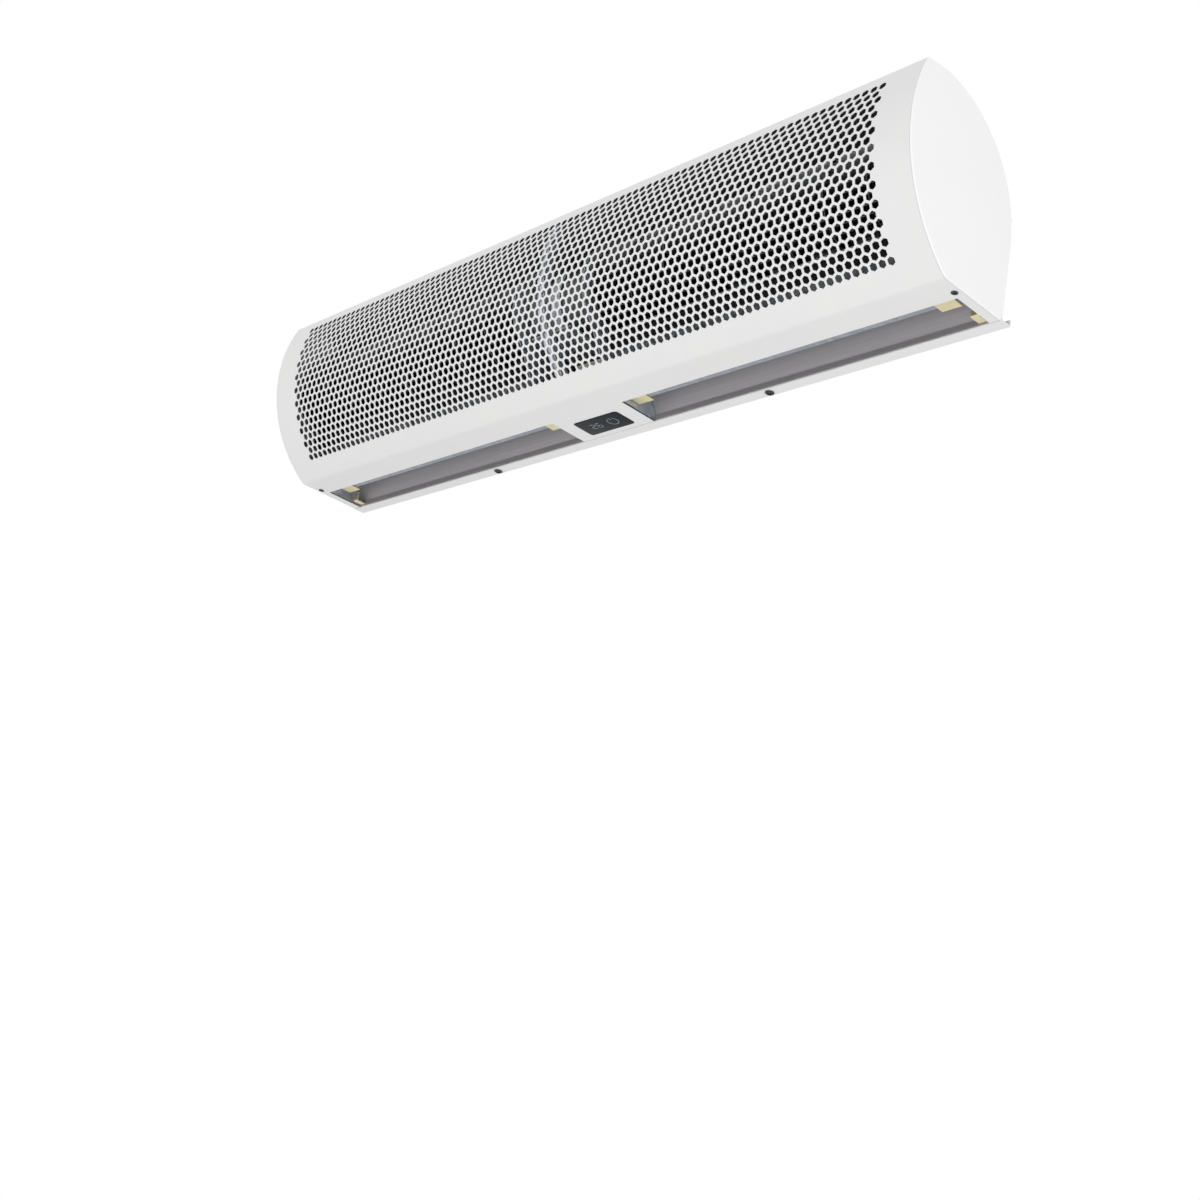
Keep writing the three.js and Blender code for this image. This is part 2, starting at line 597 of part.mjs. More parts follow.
for (const [name, side] of SIDES) {
  const scroll = slab(sheet(scrollPath(), SCROLL_SHEET), DUCT_X0, DUCT_X1);
  piece(`scroll_${name}`, mirrored(scroll, side), DARK_SHEET);
  const tongue = slab(sheet(tonguePath(), SCROLL_SHEET), DUCT_X0, DUCT_X1);
  const notch = block(DUCT_X1 - TONGUE_NOTCH, DUCT_X1 + THROUGH, -OUTLET_FRONT - TONGUE_LAP - THROUGH,
    -TONGUE_HEM + 2 * THROUGH, TONGUE_FOOT_Z - THROUGH, TONGUE_FOOT_Z + 1.5 * SCROLL_SHEET);
  piece(`tongue_${name}`, mirrored(cut(tongue, notch), side), GALVANISED);
  piece(`duct_end_inner_${name}`, mirrored(endPlate(DUCT_IN, HUB_OPENING), side), GALVANISED);
  piece(`duct_end_outer_${name}`, mirrored(endPlate(DUCT_OUT, BEARING_RADIUS), side), GALVANISED);
}

// ---------------------------------------------------------------- brackets in the outlets

// Carries the tongue's foot off the front edge of the cover's underside.
function tongueClip(x0) {
  const top = TONGUE_FOOT_Z - GAP;
  const path = [
    [-OUTLET_FRONT - TONGUE_LAP, SKIN + GAP],
    [-OUTLET_FRONT - CLIP_SETBACK, SKIN + GAP],
    [-OUTLET_FRONT - CLIP_SETBACK, top - CLIP_SHEET],
    [-TONGUE_HEM + CLIP_NOSE, top - CLIP_SHEET],
  ];
  return slab(sheet(path, CLIP_SHEET), x0, x0 + CLIP_WIDTH);
}

function cornerBracket() {
  const rear = -REAR_STANDOFF - SKIN - GAP - SCROLL_SHEET - GAP;
  const path = [
    [rear, CORNER_BRACKET_Z],
    [rear - CORNER_BRACKET_DEPTH, CORNER_BRACKET_Z],
    [rear - CORNER_BRACKET_DEPTH, CORNER_BRACKET_Z + CORNER_BRACKET_HEIGHT],
  ];
  const x1 = DUCT_OUT - CORNER_BRACKET_INSET;
  return slab(sheet(path, -CLIP_SHEET), x1 - CORNER_BRACKET_WIDTH, x1);
}

for (const [name, side] of SIDES) {
  piece(`tongue_clip_inner_${name}`, mirrored(tongueClip(DUCT_X0 + CLIP_END_GAP), side), PASSIVATED);
  const outer = DUCT_X1 - TONGUE_NOTCH - CLIP_WIDTH - CLIP_END_GAP;
  piece(`tongue_clip_outer_${name}`, mirrored(tongueClip(outer), side), PASSIVATED);
  piece(`outlet_bracket_${name}`, mirrored(cornerBracket(), side), PASSIVATED);
}

// ---------------------------------------------------------------- turning parts

const WHEEL_X0 = DUCT_X0 + WHEEL_END_GAP;
const WHEEL_X1 = DUCT_OUT - WHEEL_END_GAP;
const HUB_X0 = DUCT_IN + END_PLATE + HUB_CLEAR;

// One forward-curved blade: a bent strip between the wheel's bore and its rim.
function bladeSection(angle) {
  const path = [
    polar(AXIS_Y, AXIS_Z, WHEEL_BORE, angle + BLADE_ROOT_ANGLE),
    polar(AXIS_Y, AXIS_Z, (WHEEL_BORE + WHEEL_RADIUS) / 2, angle + BLADE_MIDDLE_ANGLE),
    polar(AXIS_Y, AXIS_Z, WHEEL_RADIUS - BLADE_INSET, angle),
  ];
  return sheet(path, BLADE_THICK);
}

function wheel() {
  const mid = (WHEEL_X0 + WHEEL_X1) / 2;
  const blades = Array.from({ length: BLADES }, (_, i) =>
    slab(bladeSection((360 / BLADES) * i), WHEEL_X0 + WHEEL_DISC / 2, WHEEL_X1 - WHEEL_DISC / 2));
  const disc = (x0, hole) => cut(
    rodX(WHEEL_RADIUS, x0, x0 + WHEEL_DISC, AXIS_Y, AXIS_Z, WHEEL_FACETS),
    rodX(hole, x0 - THROUGH, x0 + WHEEL_DISC + THROUGH));
  const inner = disc(WHEEL_X0, HUB_RADIUS + GAP);
  const ring = ringX(WHEEL_RADIUS, WHEEL_BORE - DISC_RING,
    mid - WHEEL_DISC / 2, mid + WHEEL_DISC / 2, WHEEL_FACETS);
  const outer = disc(WHEEL_X1 - WHEEL_DISC, SHAFT_RADIUS + GAP);
  return join(inner, ring, outer, ...blades);
}

// Collar in the wheel's inner disc that grips the motor shaft.
function hub() {
  const flange = rodX(HUB_RADIUS + HUB_FLANGE, WHEEL_X0 - GAP - HUB_FLANGE_THICK, WHEEL_X0 - GAP);
  return cut(join(rodX(HUB_RADIUS, HUB_X0, HUB_X0 + HUB_LENGTH), flange),
    rodX(SHAFT_RADIUS + GAP, HUB_X0 - THROUGH, HUB_X0 + HUB_LENGTH + THROUGH));
}

// Short axle with a flange behind the wheel's outer disc.
const AXLE_END = DUCT_OUT + END_PLATE + GAP + BEARING_WIDTH;
function stubAxle() {
  const flangeEnd = WHEEL_X1 - WHEEL_DISC - GAP;
  const flangeStart = flangeEnd - AXLE_FLANGE_THICK;
  return join(
    rodX(SHAFT_RADIUS, (flangeStart + flangeEnd) / 2, AXLE_END),
    rodX(AXLE_FLANGE, flangeStart, flangeEnd));
}

const SHAFT_HALF = HUB_X0 + HUB_LENGTH;
piece('motor_shaft', rodX(SHAFT_RADIUS, -SHAFT_HALF, SHAFT_HALF), STEEL);
for (const [name, side] of SIDES) {
  piece(`impeller_${name}`, mirrored(wheel(), side), ALUMINIUM);
  piece(`hub_${name}`, mirrored(hub(), side), RUBBER);
  piece(`stub_axle_${name}`, mirrored(stubAxle(), side), STEEL);
}

// ---------------------------------------------------------------- bearings

function bearingHousing() {
  const x0 = DUCT_OUT + END_PLATE + GAP;
  const cup = rodX(HOUSING_RADIUS, x0, x0 + BEARING_WIDTH);
  const flange = rodX(HOUSING_FLANGE, x0, x0 + HOUSING_SHEET);
  return cut(join(cup, flange), rodX(CUSHION_RADIUS + GAP, x0 - THROUGH, x0 + BEARING_WIDTH + THROUGH));
}

for (const [name, side] of SIDES) {
  const x0 = DUCT_OUT + END_PLATE + GAP;
  const x1 = x0 + BEARING_WIDTH;
  const bearing = ringX(BEARING_RADIUS, SHAFT_RADIUS + GAP, x0, x1);
  const cushion = ringX(CUSHION_RADIUS, BEARING_RADIUS + GAP, x0, x1);
  piece(`bearing_${name}`, mirrored(bearing, side), STEEL);
  piece(`bearing_cushion_${name}`, mirrored(cushion, side), RUBBER);
  piece(`bearing_housing_${name}`, mirrored(bearingHousing(), side), GALVANISED);
}

// ---------------------------------------------------------------- motor

const MOTOR_HALF = MOTOR_LENGTH / 2;
const SHAFT_HOLE = SHAFT_RADIUS + GAP;
piece('motor_body', ringX(MOTOR_RADIUS, SHAFT_HOLE, -MOTOR_HALF, MOTOR_HALF, MOTOR_FACETS), STEEL);

// End bell: shoulder, dome and a boss round the shaft, turned about the fan axis.
function endBell() {
  const x0 = MOTOR_HALF + GAP;
  const profile = [
    [SHAFT_HOLE, 0], [MOTOR_RADIUS, 0], [MOTOR_RADIUS, BELL_SHOULDER],
    [BELL_DOME, BELL_DOME_RISE], [BELL_FACE, BELL_FACE_RISE],
    [BELL_BOSS, BELL_LENGTH], [SHAFT_HOLE, BELL_LENGTH], [SHAFT_HOLE, 0],
  ].map(([radius, along]) => new THREE.Vector2(radius, along));
  const geometry = new THREE.LatheGeometry(profile, MOTOR_FACETS);
  geometry.rotateZ(-Math.PI / 2).translate(x0, AXIS_Y, AXIS_Z);
  let body = solid(geometry);
  for (let i = 0; i < BELL_VENTS; i += 1) {
    const [y, z] = polar(AXIS_Y, AXIS_Z, BELL_VENT_CIRCLE, (360 / BELL_VENTS) * i);
    body = cut(body, rodX(BELL_VENT_RADIUS, x0 - THROUGH, x0 + BELL_LENGTH + THROUGH, y, z, 6));
  }
  return body;
}
for (const [name, side] of SIDES) piece(`motor_bell_${name}`, mirrored(endBell(), side), STEEL);

// Cradle: floor, two cheeks that hold the motor from behind, and a ledge above.
const SADDLE = MOTOR_RADIUS + GAP;
const LEDGE = polar(AXIS_Y, AXIS_Z, SADDLE, SADDLE_TOP_ANGLE);
const STRAP_FOOT = polar(AXIS_Y, AXIS_Z, SADDLE + GAP, STRAP_FOOT_ANGLE);

// Middle of each strap ear, and the height of the sheet that it is screwed to.
function strapScrewPlaces() {
  return [
    [LEDGE[0] + STRAP_EAR - SCREW_HEAD - STRAP_LAND, LEDGE[1]],
    [STRAP_FOOT[0] - STRAP_EAR / 2, CRADLE_Z],
  ];
}

// Holes for the strap's screws, through the strap and what it is screwed to.
function strapHoles() {
  const reach = 2 * (CRADLE_SHEET + THROUGH);
  return strapScrewPlaces().map(([y, z]) => rodZ(SCREW_RADIUS + GAP, z - reach, z + reach, 0, y));
}

function motorCradle() {
  const seat = SKIN + 2 * GAP; // outside of the rear shell to the cradle
  const back = REAR_RADIUS - seat;
  const foot = CRADLE_Z - CRADLE_SHEET;
  const upright = foot < REAR_CENTRE_Z ? [[backAt(foot, seat), foot]] : [];
  const curveStart = heightAngle(Math.max(foot - REAR_CENTRE_Z, 0), back);
  const curveEnd = heightAngle(LEDGE[1] - REAR_CENTRE_Z, back);
  const floorFront = STRAP_FOOT[0] - STRAP_EAR - CRADLE_LIP;
  const cheek = [
    ...upright,
    ...arc(REAR_CENTRE_Y, REAR_CENTRE_Z, back, curveStart, curveEnd, 4),
    ...arc(AXIS_Y, AXIS_Z, SADDLE, SADDLE_TOP_ANGLE, SADDLE_FOOT_ANGLE, 12),
    [AXIS_Y, foot],
  ];
  const width = CHEEK_X + CHEEK;
  const body = join(
    slab(cheek, CHEEK_X, width),
    slab(cheek, -width, -CHEEK_X),
    block(-width, width, floorFront, backAt(CRADLE_Z, seat), foot, CRADLE_Z),
    block(-width, width, LEDGE[0] + LEDGE_SETBACK, backAt(LEDGE[1], seat) - CRADLE_SHEET,
      LEDGE[1] - CRADLE_SHEET, LEDGE[1]));
  return cut(body, ...strapHoles());
}
piece('motor_cradle', motorCradle(), GALVANISED);

// Clamping strap round the front of the motor, with an ear at each end.
function motorStrap() {
  const inner = SADDLE + GAP;
  const path = [
    [LEDGE[0] + STRAP_EAR, LEDGE[1] + GAP],
    [LEDGE[0] + STRAP_LAND, LEDGE[1] + GAP],
    ...arc(AXIS_Y, AXIS_Z, inner, STRAP_TOP_ANGLE, STRAP_FOOT_ANGLE, 18),
    [STRAP_FOOT[0], CRADLE_Z + GAP],
    [STRAP_FOOT[0] - STRAP_EAR, CRADLE_Z + GAP],
  ];
  const body = slab(sheet(path, -STRAP_SHEET), -STRAP_WIDTH / 2, STRAP_WIDTH / 2);
  return cut(body, ...strapHoles());
}
piece('motor_strap', motorStrap(), GALVANISED);

// ---------------------------------------------------------------- controls and electrics

piece('display_lens', lens(0, -LENS_PROUD, LENS_THICK - LENS_PROUD), GLASS);

function displayBoard() {
  const z0 = LENS_THICK - LENS_PROUD + GAP;
  return block(-LENS_WIDTH / 2 - BOARD_MARGIN, LENS_WIDTH / 2 + BOARD_MARGIN,
    -LENS_FRONT - BOARD_MARGIN, -LENS_FRONT + LENS_DEPTH + BOARD_MARGIN, z0, z0 + BOARD_SHEET);
}
piece('display_board', displayBoard(), LAMINATE);

const BOARD_FRONT = -TRAY_FRONT + BOARD_INSET;
const BOARD_REAR = -TRAY_REAR - BOARD_INSET;

// Tray that spans between the inner end plates and carries the control board.
function electricsTray() {
  const x = DUCT_IN - GAP;
  const top = TRAY_Z + TRAY_SHEET;
  const rib = (y) => block(-x + TRAY_RIB_INSET, x - TRAY_RIB_INSET, y, y + TRAY_RIB_WIDTH,
    top - TRAY_SHEET / 2, top + TRAY_RIB);
  return join(
    block(-x, x, -TRAY_FRONT, -TRAY_REAR, TRAY_Z, top),
    block(-x, -x + TRAY_SHEET, -TRAY_FRONT, -TRAY_REAR, TRAY_Z, top + TRAY_WALL),
    block(x - TRAY_SHEET, x, -TRAY_FRONT, -TRAY_REAR, TRAY_Z, top + TRAY_WALL),
    rib(BOARD_FRONT + TRAY_RIB_WIDTH),
    rib(BOARD_REAR - 2 * TRAY_RIB_WIDTH));
}
piece('electrics_tray', electricsTray(), GALVANISED);

const BOARD_Z = TRAY_Z + TRAY_SHEET + TRAY_RIB + GAP;
const BOARD_TOP = BOARD_Z + BOARD_SHEET;
const controlBoard = block(-BOARD_WIDTH / 2, BOARD_WIDTH / 2, BOARD_FRONT, BOARD_REAR, BOARD_Z, BOARD_TOP);
piece('control_board', controlBoard, LAMINATE);

// A part stands in a corner of the board: -1 is left or front, +1 is right or rear.
function cornerOf(sideX, sideY, width, depth) {
  const edge = BOARD_WIDTH / 2 - PART_EDGE;
  const x0 = sideX > 0 ? edge - width : -edge;
  const y0 = sideY > 0 ? BOARD_REAR - PART_EDGE - depth : BOARD_FRONT + PART_EDGE;
  return [x0, y0];
}

function boardPart(sideX, sideY, width, depth, height) {
  const [x0, y0] = cornerOf(sideX, sideY, width, depth);
  const z0 = BOARD_TOP + GAP;
  return block(x0, x0 + width, y0, y0 + depth, z0, z0 + height);
}
const capacitor = boardPart(1, -1, CAPACITOR_WIDTH, CAPACITOR_DEPTH, CAPACITOR_HEIGHT);
const transformer = boardPart(-1, -1, TRANSFORMER_WIDTH, TRANSFORMER_DEPTH, TRANSFORMER_HEIGHT);
const relay = boardPart(-1, 1, RELAY_WIDTH, RELAY_DEPTH, RELAY_HEIGHT);
piece('run_capacitor', capacitor, MOULDING);
piece('transformer', transformer, DARK_SHEET);
piece('relay', relay, RELAY_BLUE);

// Block with a row of wire pockets along its front edge.
function terminalBlock() {
  const width = TERMINALS * TERMINAL_PITCH;
  const [x0, y0] = cornerOf(1, 1, width, TERMINAL_DEPTH);
  const top = BOARD_TOP + GAP + TERMINAL_HEIGHT;
  let body = boardPart(1, 1, width, TERMINAL_DEPTH, TERMINAL_HEIGHT);
  for (let i = 0; i < TERMINALS; i += 1) {
    const from = x0 + i * TERMINAL_PITCH + TERMINAL_WALL;
    const to = x0 + (i + 1) * TERMINAL_PITCH - TERMINAL_WALL;
    const pocket = block(from, to, y0 - THROUGH, y0 + POCKET_DEPTH, top - POCKET_HEIGHT, top + THROUGH);
    body = cut(body, pocket);
  }
  return body;
}
piece('terminal_block', terminalBlock(), MOULDING);

// ---------------------------------------------------------------- screws

// A screw driven up into the underside.
function screwUp(x, y, head, height) {
  return join(
    rodZ(head, -GAP - height, -GAP, x, y),
    rodZ(SCREW_RADIUS, -GAP - height / 2, SCREW_LENGTH, x, y));
}
for (const [name, side] of SIDES) {
  const flangeScrew = screwUp(side * FLANGE_SCREW_X, FLANGE_SCREW_Y, SCREW_HEAD, SCREW_HEAD_HEIGHT);
  const cornerX = side * (HALF - CORNER_SCREW_INSET);
  const cornerScrew = screwUp(cornerX, CORNER_SCREW_Y, CORNER_SCREW_HEAD, CORNER_SCREW_HEAD_HEIGHT);
  piece(`flange_screw_${name}`, flangeScrew, SCREW_STEEL);
  piece(`corner_screw_${name}`, cornerScrew, SCREW_STEEL);
}

// The strap's screws stand on its ears, heads up.
strapScrewPlaces().forEach(([y, z], i) => {
  const seat = z + 2 * GAP + STRAP_SHEET;
  const body = join(rodZ(SCREW_HEAD, seat, seat + SCREW_HEAD_HEIGHT, 0, y),
    rodZ(SCREW_RADIUS, z - STRAP_SCREW_LENGTH, seat + SCREW_HEAD_HEIGHT / 2, 0, y));
  piece(`strap_screw_${['upper', 'lower'][i]}`, body, SCREW_STEEL);
});

export default group;
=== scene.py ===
import json

import bpy
import numpy as np
from mathutils import Matrix, Vector


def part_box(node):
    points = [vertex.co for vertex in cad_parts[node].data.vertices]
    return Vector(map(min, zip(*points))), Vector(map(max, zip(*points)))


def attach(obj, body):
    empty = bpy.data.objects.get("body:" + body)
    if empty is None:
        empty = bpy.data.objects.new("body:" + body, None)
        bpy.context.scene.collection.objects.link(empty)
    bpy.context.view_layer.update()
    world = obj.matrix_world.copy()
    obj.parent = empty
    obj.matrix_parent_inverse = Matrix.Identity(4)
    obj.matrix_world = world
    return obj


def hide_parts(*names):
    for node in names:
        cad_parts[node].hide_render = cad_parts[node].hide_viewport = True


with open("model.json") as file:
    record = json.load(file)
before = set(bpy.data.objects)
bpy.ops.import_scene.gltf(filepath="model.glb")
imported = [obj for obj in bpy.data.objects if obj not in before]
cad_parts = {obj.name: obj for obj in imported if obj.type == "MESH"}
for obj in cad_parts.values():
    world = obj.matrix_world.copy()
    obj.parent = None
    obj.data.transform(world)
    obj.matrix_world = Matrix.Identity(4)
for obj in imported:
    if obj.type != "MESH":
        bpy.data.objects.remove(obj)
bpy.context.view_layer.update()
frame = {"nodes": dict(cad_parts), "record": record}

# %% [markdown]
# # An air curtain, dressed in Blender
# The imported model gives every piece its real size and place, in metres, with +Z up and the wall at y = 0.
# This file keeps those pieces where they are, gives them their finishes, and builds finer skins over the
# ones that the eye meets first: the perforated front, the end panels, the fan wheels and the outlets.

nodes = frame["nodes"]
MM = 0.001
print("pieces in the frame:", len(nodes))

# %% [markdown]
# ## The camera
# The camera was worked out from the staggered holes of the front, whose spacing is known. It stands low, to
# the right of the casing, and looks up at it from below, a little tilted. No lens shift is used, so the
# same camera can be carried round the object for other views.

# %% Camera
CAMERA_PLACE = Vector((1.2374, -1.0413, -0.7979))
CAMERA_AIM = Vector((-0.0528, 0.0479, -0.2017))
CAMERA_ROLL = 10.47  # degrees, counter-clockwise turn of the camera about its line of sight
FOCAL_LENGTH = 53.45  # mm on a 36 mm sensor

camera_data = bpy.data.cameras.new("camera")
camera_data.lens = FOCAL_LENGTH
camera_data.sensor_width = 36.0
camera_data.clip_start, camera_data.clip_end = 0.05, 60.0
camera = bpy.data.objects.new("camera", camera_data)
turn = (CAMERA_AIM - CAMERA_PLACE).to_track_quat("-Z", "Y").to_matrix().to_4x4()
roll = Matrix.Rotation(np.radians(CAMERA_ROLL), 4, "Z")
camera.matrix_world = Matrix.Translation(CAMERA_PLACE) @ turn @ roll
bpy.context.scene.collection.objects.link(camera)
bpy.context.scene.camera = camera
print("camera to aim, in m:", round((CAMERA_AIM - CAMERA_PLACE).length, 3))

# %% [markdown]
# ## Colours and nodes
# Colours are picked as sRGB hex values, as a paint shop or a photo editor shows them, while the renderer
# works with linear light. One function turns the first into the second. Another one adds a node, with its
# settings and what is plugged into it, so that a material reads as a short list.

# %% Helpers for colours and nodes


def linear(hex_colour):
    """sRGB hex to linear RGBA: a channel c becomes c / 12.92 if it is small, and otherwise
    ((c + 0.055) / 1.055) ** 2.4."""
    c = np.array([int(hex_colour[i:i + 2], 16) for i in (1, 3, 5)]) / 255
    return (*np.where(c <= 0.04045, c / 12.92, ((c + 0.055) / 1.055) ** 2.4), 1.0)


def add(tree, kind, inputs=None, **settings):
    """Adds a node, sets its properties, and fills its inputs with values or the sockets that feed them."""
    node = tree.nodes.new(kind)
    for name, value in settings.items():
        setattr(node, name, value)
    for name, value in (inputs or {}).items():
        if isinstance(value, bpy.types.NodeSocket):
            tree.links.new(value, node.inputs[name])
        else:
            node.inputs[name].default_value = value
    return node


def blank_material(name, **inputs):
    """A material with a Principled shader, its output and the Object coordinates that its patterns read."""
    material = bpy.data.materials.new(name)
    material.use_nodes = True
    tree = material.node_tree
    tree.nodes.clear()
    shader = add(tree, "ShaderNodeBsdfPrincipled", {k.replace("_", " "): v for k, v in inputs.items()})
    add(tree, "ShaderNodeOutputMaterial", {"Surface": shader.outputs["BSDF"]})
    place = add(tree, "ShaderNodeTexCoord").outputs["Object"]
    return material, tree, shader, place


def noise(tree, place, size_mm, detail=2.0, roughness=0.5):
    """Cloudy pattern whose lumps are about size_mm across."""
    scale = 1 / (size_mm * MM)
    return add(tree, "ShaderNodeTexNoise", {"Vector": place, "Scale": scale, "Detail": detail,
                                            "Roughness": roughness}).outputs["Fac"]


def between(tree, factor, low, high):
    """Maps a pattern's middle range onto the numbers from low to high."""
    return add(tree, "ShaderNodeMapRange", {"Value": factor, "From Min": 0.3, "From Max": 0.7,
                                            "To Min": low, "To Max": high}).outputs["Result"]


def two_tone(tree, factor, first, second):
    """Blends two colours by a pattern."""
    mix = add(tree, "ShaderNodeMix", {0: factor, 6: linear(first), 7: linear(second)}, data_type="RGBA")
    return mix.outputs[2]


def bumped(tree, shader, height, depth_mm, strength=1.0):
    """Tilts the surface by a pattern that stands depth_mm high."""
    bump = add(tree, "ShaderNodeBump", {"Height": height, "Distance": depth_mm * MM, "Strength": strength})
    tree.links.new(bump.outputs["Normal"], shader.inputs["Normal"])


def feed(tree, socket, shader, name):
    """Plugs a socket into the shader."""
    tree.links.new(socket, shader.inputs[name])


finishes = {}

# %% [markdown]
# ## Powder-coated steel
# The casing is bent from sheet steel and powder coated. Powder melts into a smooth skin with a very shallow
# orange peel, about 1.5 mm from hump to hump, and a soft gloss that varies a little. The end panels get a
# brighter white than the cover, which is painted light: the paint is the same. Inside, the faces that look
# into the casing get a dull dark grey and the tongues' fronts a near black above, both painted shade, so the
# holes look into the dark.

# %% Powder coats


def powder_coat(name, colour, shade, roughness):
    material, tree, shader, place = blank_material(name, Metallic=0.0, IOR=1.5)
    cloud = noise(tree, place, 60, detail=3)
    feed(tree, two_tone(tree, cloud, colour, shade), shader, "Base Color")
    uneven = between(tree, noise(tree, place, 25), roughness - 0.04, roughness + 0.04)
    feed(tree, uneven, shader, "Roughness")
    bumped(tree, shader, noise(tree, place, 1.5, detail=1), 0.02, 0.35)
    return material


finishes["painted_casing"] = powder_coat("powder_coat_cover", "#e6e6e5", "#e2e2e2", 0.42)
# Painted light: the end panels' brighter white stands in for the light on the ends; the paint is the cover's.
finishes["painted_end_panel"] = powder_coat("brighter_powder_coat_painted_light", "#f7f7f7", "#f4f4f5", 0.42)
# Painted shade: a dull dark grey for the faces that look into the casing, so the holes look dark.
inner_painted_shade = powder_coat("dull_grey_painted_shade", "#47494b", "#3f4143", 0.6)
# Painted shade: a near black for the tongues' fronts, where the lowest holes look.
tongue_front_shade = powder_coat("near_black_painted_shade", "#18191a", "#131415", 0.75)
print("made", *(coat.name for coat in (*finishes.values(), inner_painted_shade, tongue_front_shade)))

# %% [markdown]
# ## Galvanised steel
# Zinc that cools on steel grows flat crystals, the spangle, each about 6 to 12 mm wide and each with its
# own shade and gloss. A Voronoi pattern gives such cells; its cell colour drives both shade and roughness.

# %% Galvanised sheets


def galvanised(name, bright, dull, spangle_mm, roughness, metallic):
    material, tree, shader, place = blank_material(name, Metallic=metallic)
    cells = add(tree, "ShaderNodeTexVoronoi", {"Vector": place, "Scale": 1 / (spangle_mm * MM)})
    shade = add(tree, "ShaderNodeSeparateColor", {"Color": cells.outputs["Color"]}).outputs["Red"]
    feed(tree, two_tone(tree, shade, dull, bright), shader, "Base Color")
    feed(tree, between(tree, shade, roughness - 0.06, roughness + 0.08), shader, "Roughness")
    bumped(tree, shader, noise(tree, place, 2.0), 0.01, 0.3)
    return material


finishes["galvanised_sheet"] = galvanised("galvanised_steel", "#ccd2d9", "#adb4bd", 8, 0.45, 0.7)
# Painted shade: the tongues' zinc is a darker copy of the galvanised sheet, so the lowest holes look darker;
# its spangle is finer.
tongue_zinc_painted_darker = galvanised("fine_grained_galvanised_painted_shade", "#b2b8bf", "#989ea7", 5, 0.45, 0.7)
print("made", finishes["galvanised_sheet"].name, "and", tongue_zinc_painted_darker.name)

# %% [markdown]
# ## Cold-rolled duct sheet
# The back walls of the ducts are thin zinc-coated steel with a matt skin-pass finish and fine rolling lines
# along their length. Deep in the duct it looks a warm mid grey.

# %% Duct sheet


def duct_sheet(name, colour, shade, roughness):
    material, tree, shader, place = blank_material(name, Metallic=0.5)
    drawn = add(tree, "ShaderNodeMapping", {"Vector": place, "Scale": (0.02, 1, 1)}).outputs["Vector"]
    lines = noise(tree, drawn, 2.5, detail=4)
    feed(tree, two_tone(tree, lines, colour, shade), shader, "Base Color")
    feed(tree, between(tree, lines, roughness - 0.05, roughness + 0.05), shader, "Roughness")
    bumped(tree, shader, lines, 0.02, 0.3)
    return material


finishes["dark_duct_sheet"] = duct_sheet("skin_passed_zinc_sheet", "#b3b0b2", "#a09da0", 0.55)

# %% [markdown]
# ## Yellow passivated steel
# Small brackets are zinc plated and passivated. The thin film shines pale yellow and drifts towards green
# and rose from place to place, as oil on water does.

# %% Passivated brackets


def passivated(name):
    material, tree, shader, place = blank_material(name, Metallic=0.7)
    warm = two_tone(tree, noise(tree, place, 9), "#f0e9bd", "#e2dfb0")
    rose = add(tree, "ShaderNodeMix", {0: between(tree, noise(tree, place, 5), 0.0, 0.5), 6: warm,
                                       7: linear("#ead2b4")}, data_type="RGBA").outputs[2]
    feed(tree, rose, shader, "Base Color")
    feed(tree, between(tree, noise(tree, place, 3), 0.28, 0.4), shader, "Roughness")
    bumped(tree, shader, noise(tree, place, 1.2), 0.01, 0.3)
    return material


finishes["yellow_passivated_steel"] = passivated("yellow_passivated_steel")

# %% [markdown]
# ## Bare metals
# The wheels are aluminium strip as it leaves the mill, painted darker than bare aluminium as painted shade
# inside the casing; the shaft and bearings are ground steel, the motor steel with a varnish, the screws dark
# zinc. They differ in tone, in gloss, and in the direction of their lines.

# %% Bare metals


def bare_metal(name, colour, shade, roughness, line_mm, stretch=(1, 1, 1)):
    material, tree, shader, place = blank_material(name, Metallic=1.0)
    drawn = add(tree, "ShaderNodeMapping", {"Vector": place, "Scale": stretch}).outputs["Vector"]
    lines = noise(tree, drawn, line_mm, detail=3)
    feed(tree, two_tone(tree, lines, colour, shade), shader, "Base Color")
    feed(tree, between(tree, lines, roughness - 0.05, roughness + 0.07), shader, "Roughness")
    bumped(tree, shader, lines, 0.01, 0.25)
    return material


# Painted shade: the wheels' aluminium tone is set darker than bare metal, for the dark inside of the casing.
finishes["aluminium_wheel"] = bare_metal("aluminium_darkened_as_painted_shade", "#6e7175", "#515458", 0.32, 2, (0.03, 1, 1))
finishes["bright_steel"] = bare_metal("ground_steel", "#c3c6c8", "#aeb1b4", 0.25, 0.8, (1, 0.2, 0.2))
finishes["motor_steel"] = bare_metal("varnished_motor_steel", "#7b7e80", "#66696b", 0.42, 1.5, (1, 0.3, 0.3))
finishes["screw_steel"] = bare_metal("dark_zinc_screw", "#55575a", "#47494b", 0.38, 1.0)

# %% [markdown]
# ## Rubber, plastics, glass and laminate
# Rubber rings are dull and nearly black. Plastic mouldings have a spark-eroded texture of about 0.3 mm,
# drawn a bit coarser so that it shows. The board is green laminate with a woven glass grain. The lens is
# black glass.

# %% Rubber, plastics, glass and laminate


def moulding(name, colour, shade, roughness, grain_mm=0.6, depth_mm=0.03):
    material, tree, shader, place = blank_material(name, Metallic=0.0, IOR=1.46)
    feed(tree, two_tone(tree, noise(tree, place, 12), colour, shade), shader, "Base Color")
    uneven = between(tree, noise(tree, place, 6), roughness - 0.05, roughness + 0.05)
    feed(tree, uneven, shader, "Roughness")
    bumped(tree, shader, noise(tree, place, grain_mm, detail=1), depth_mm, 0.5)
    return material


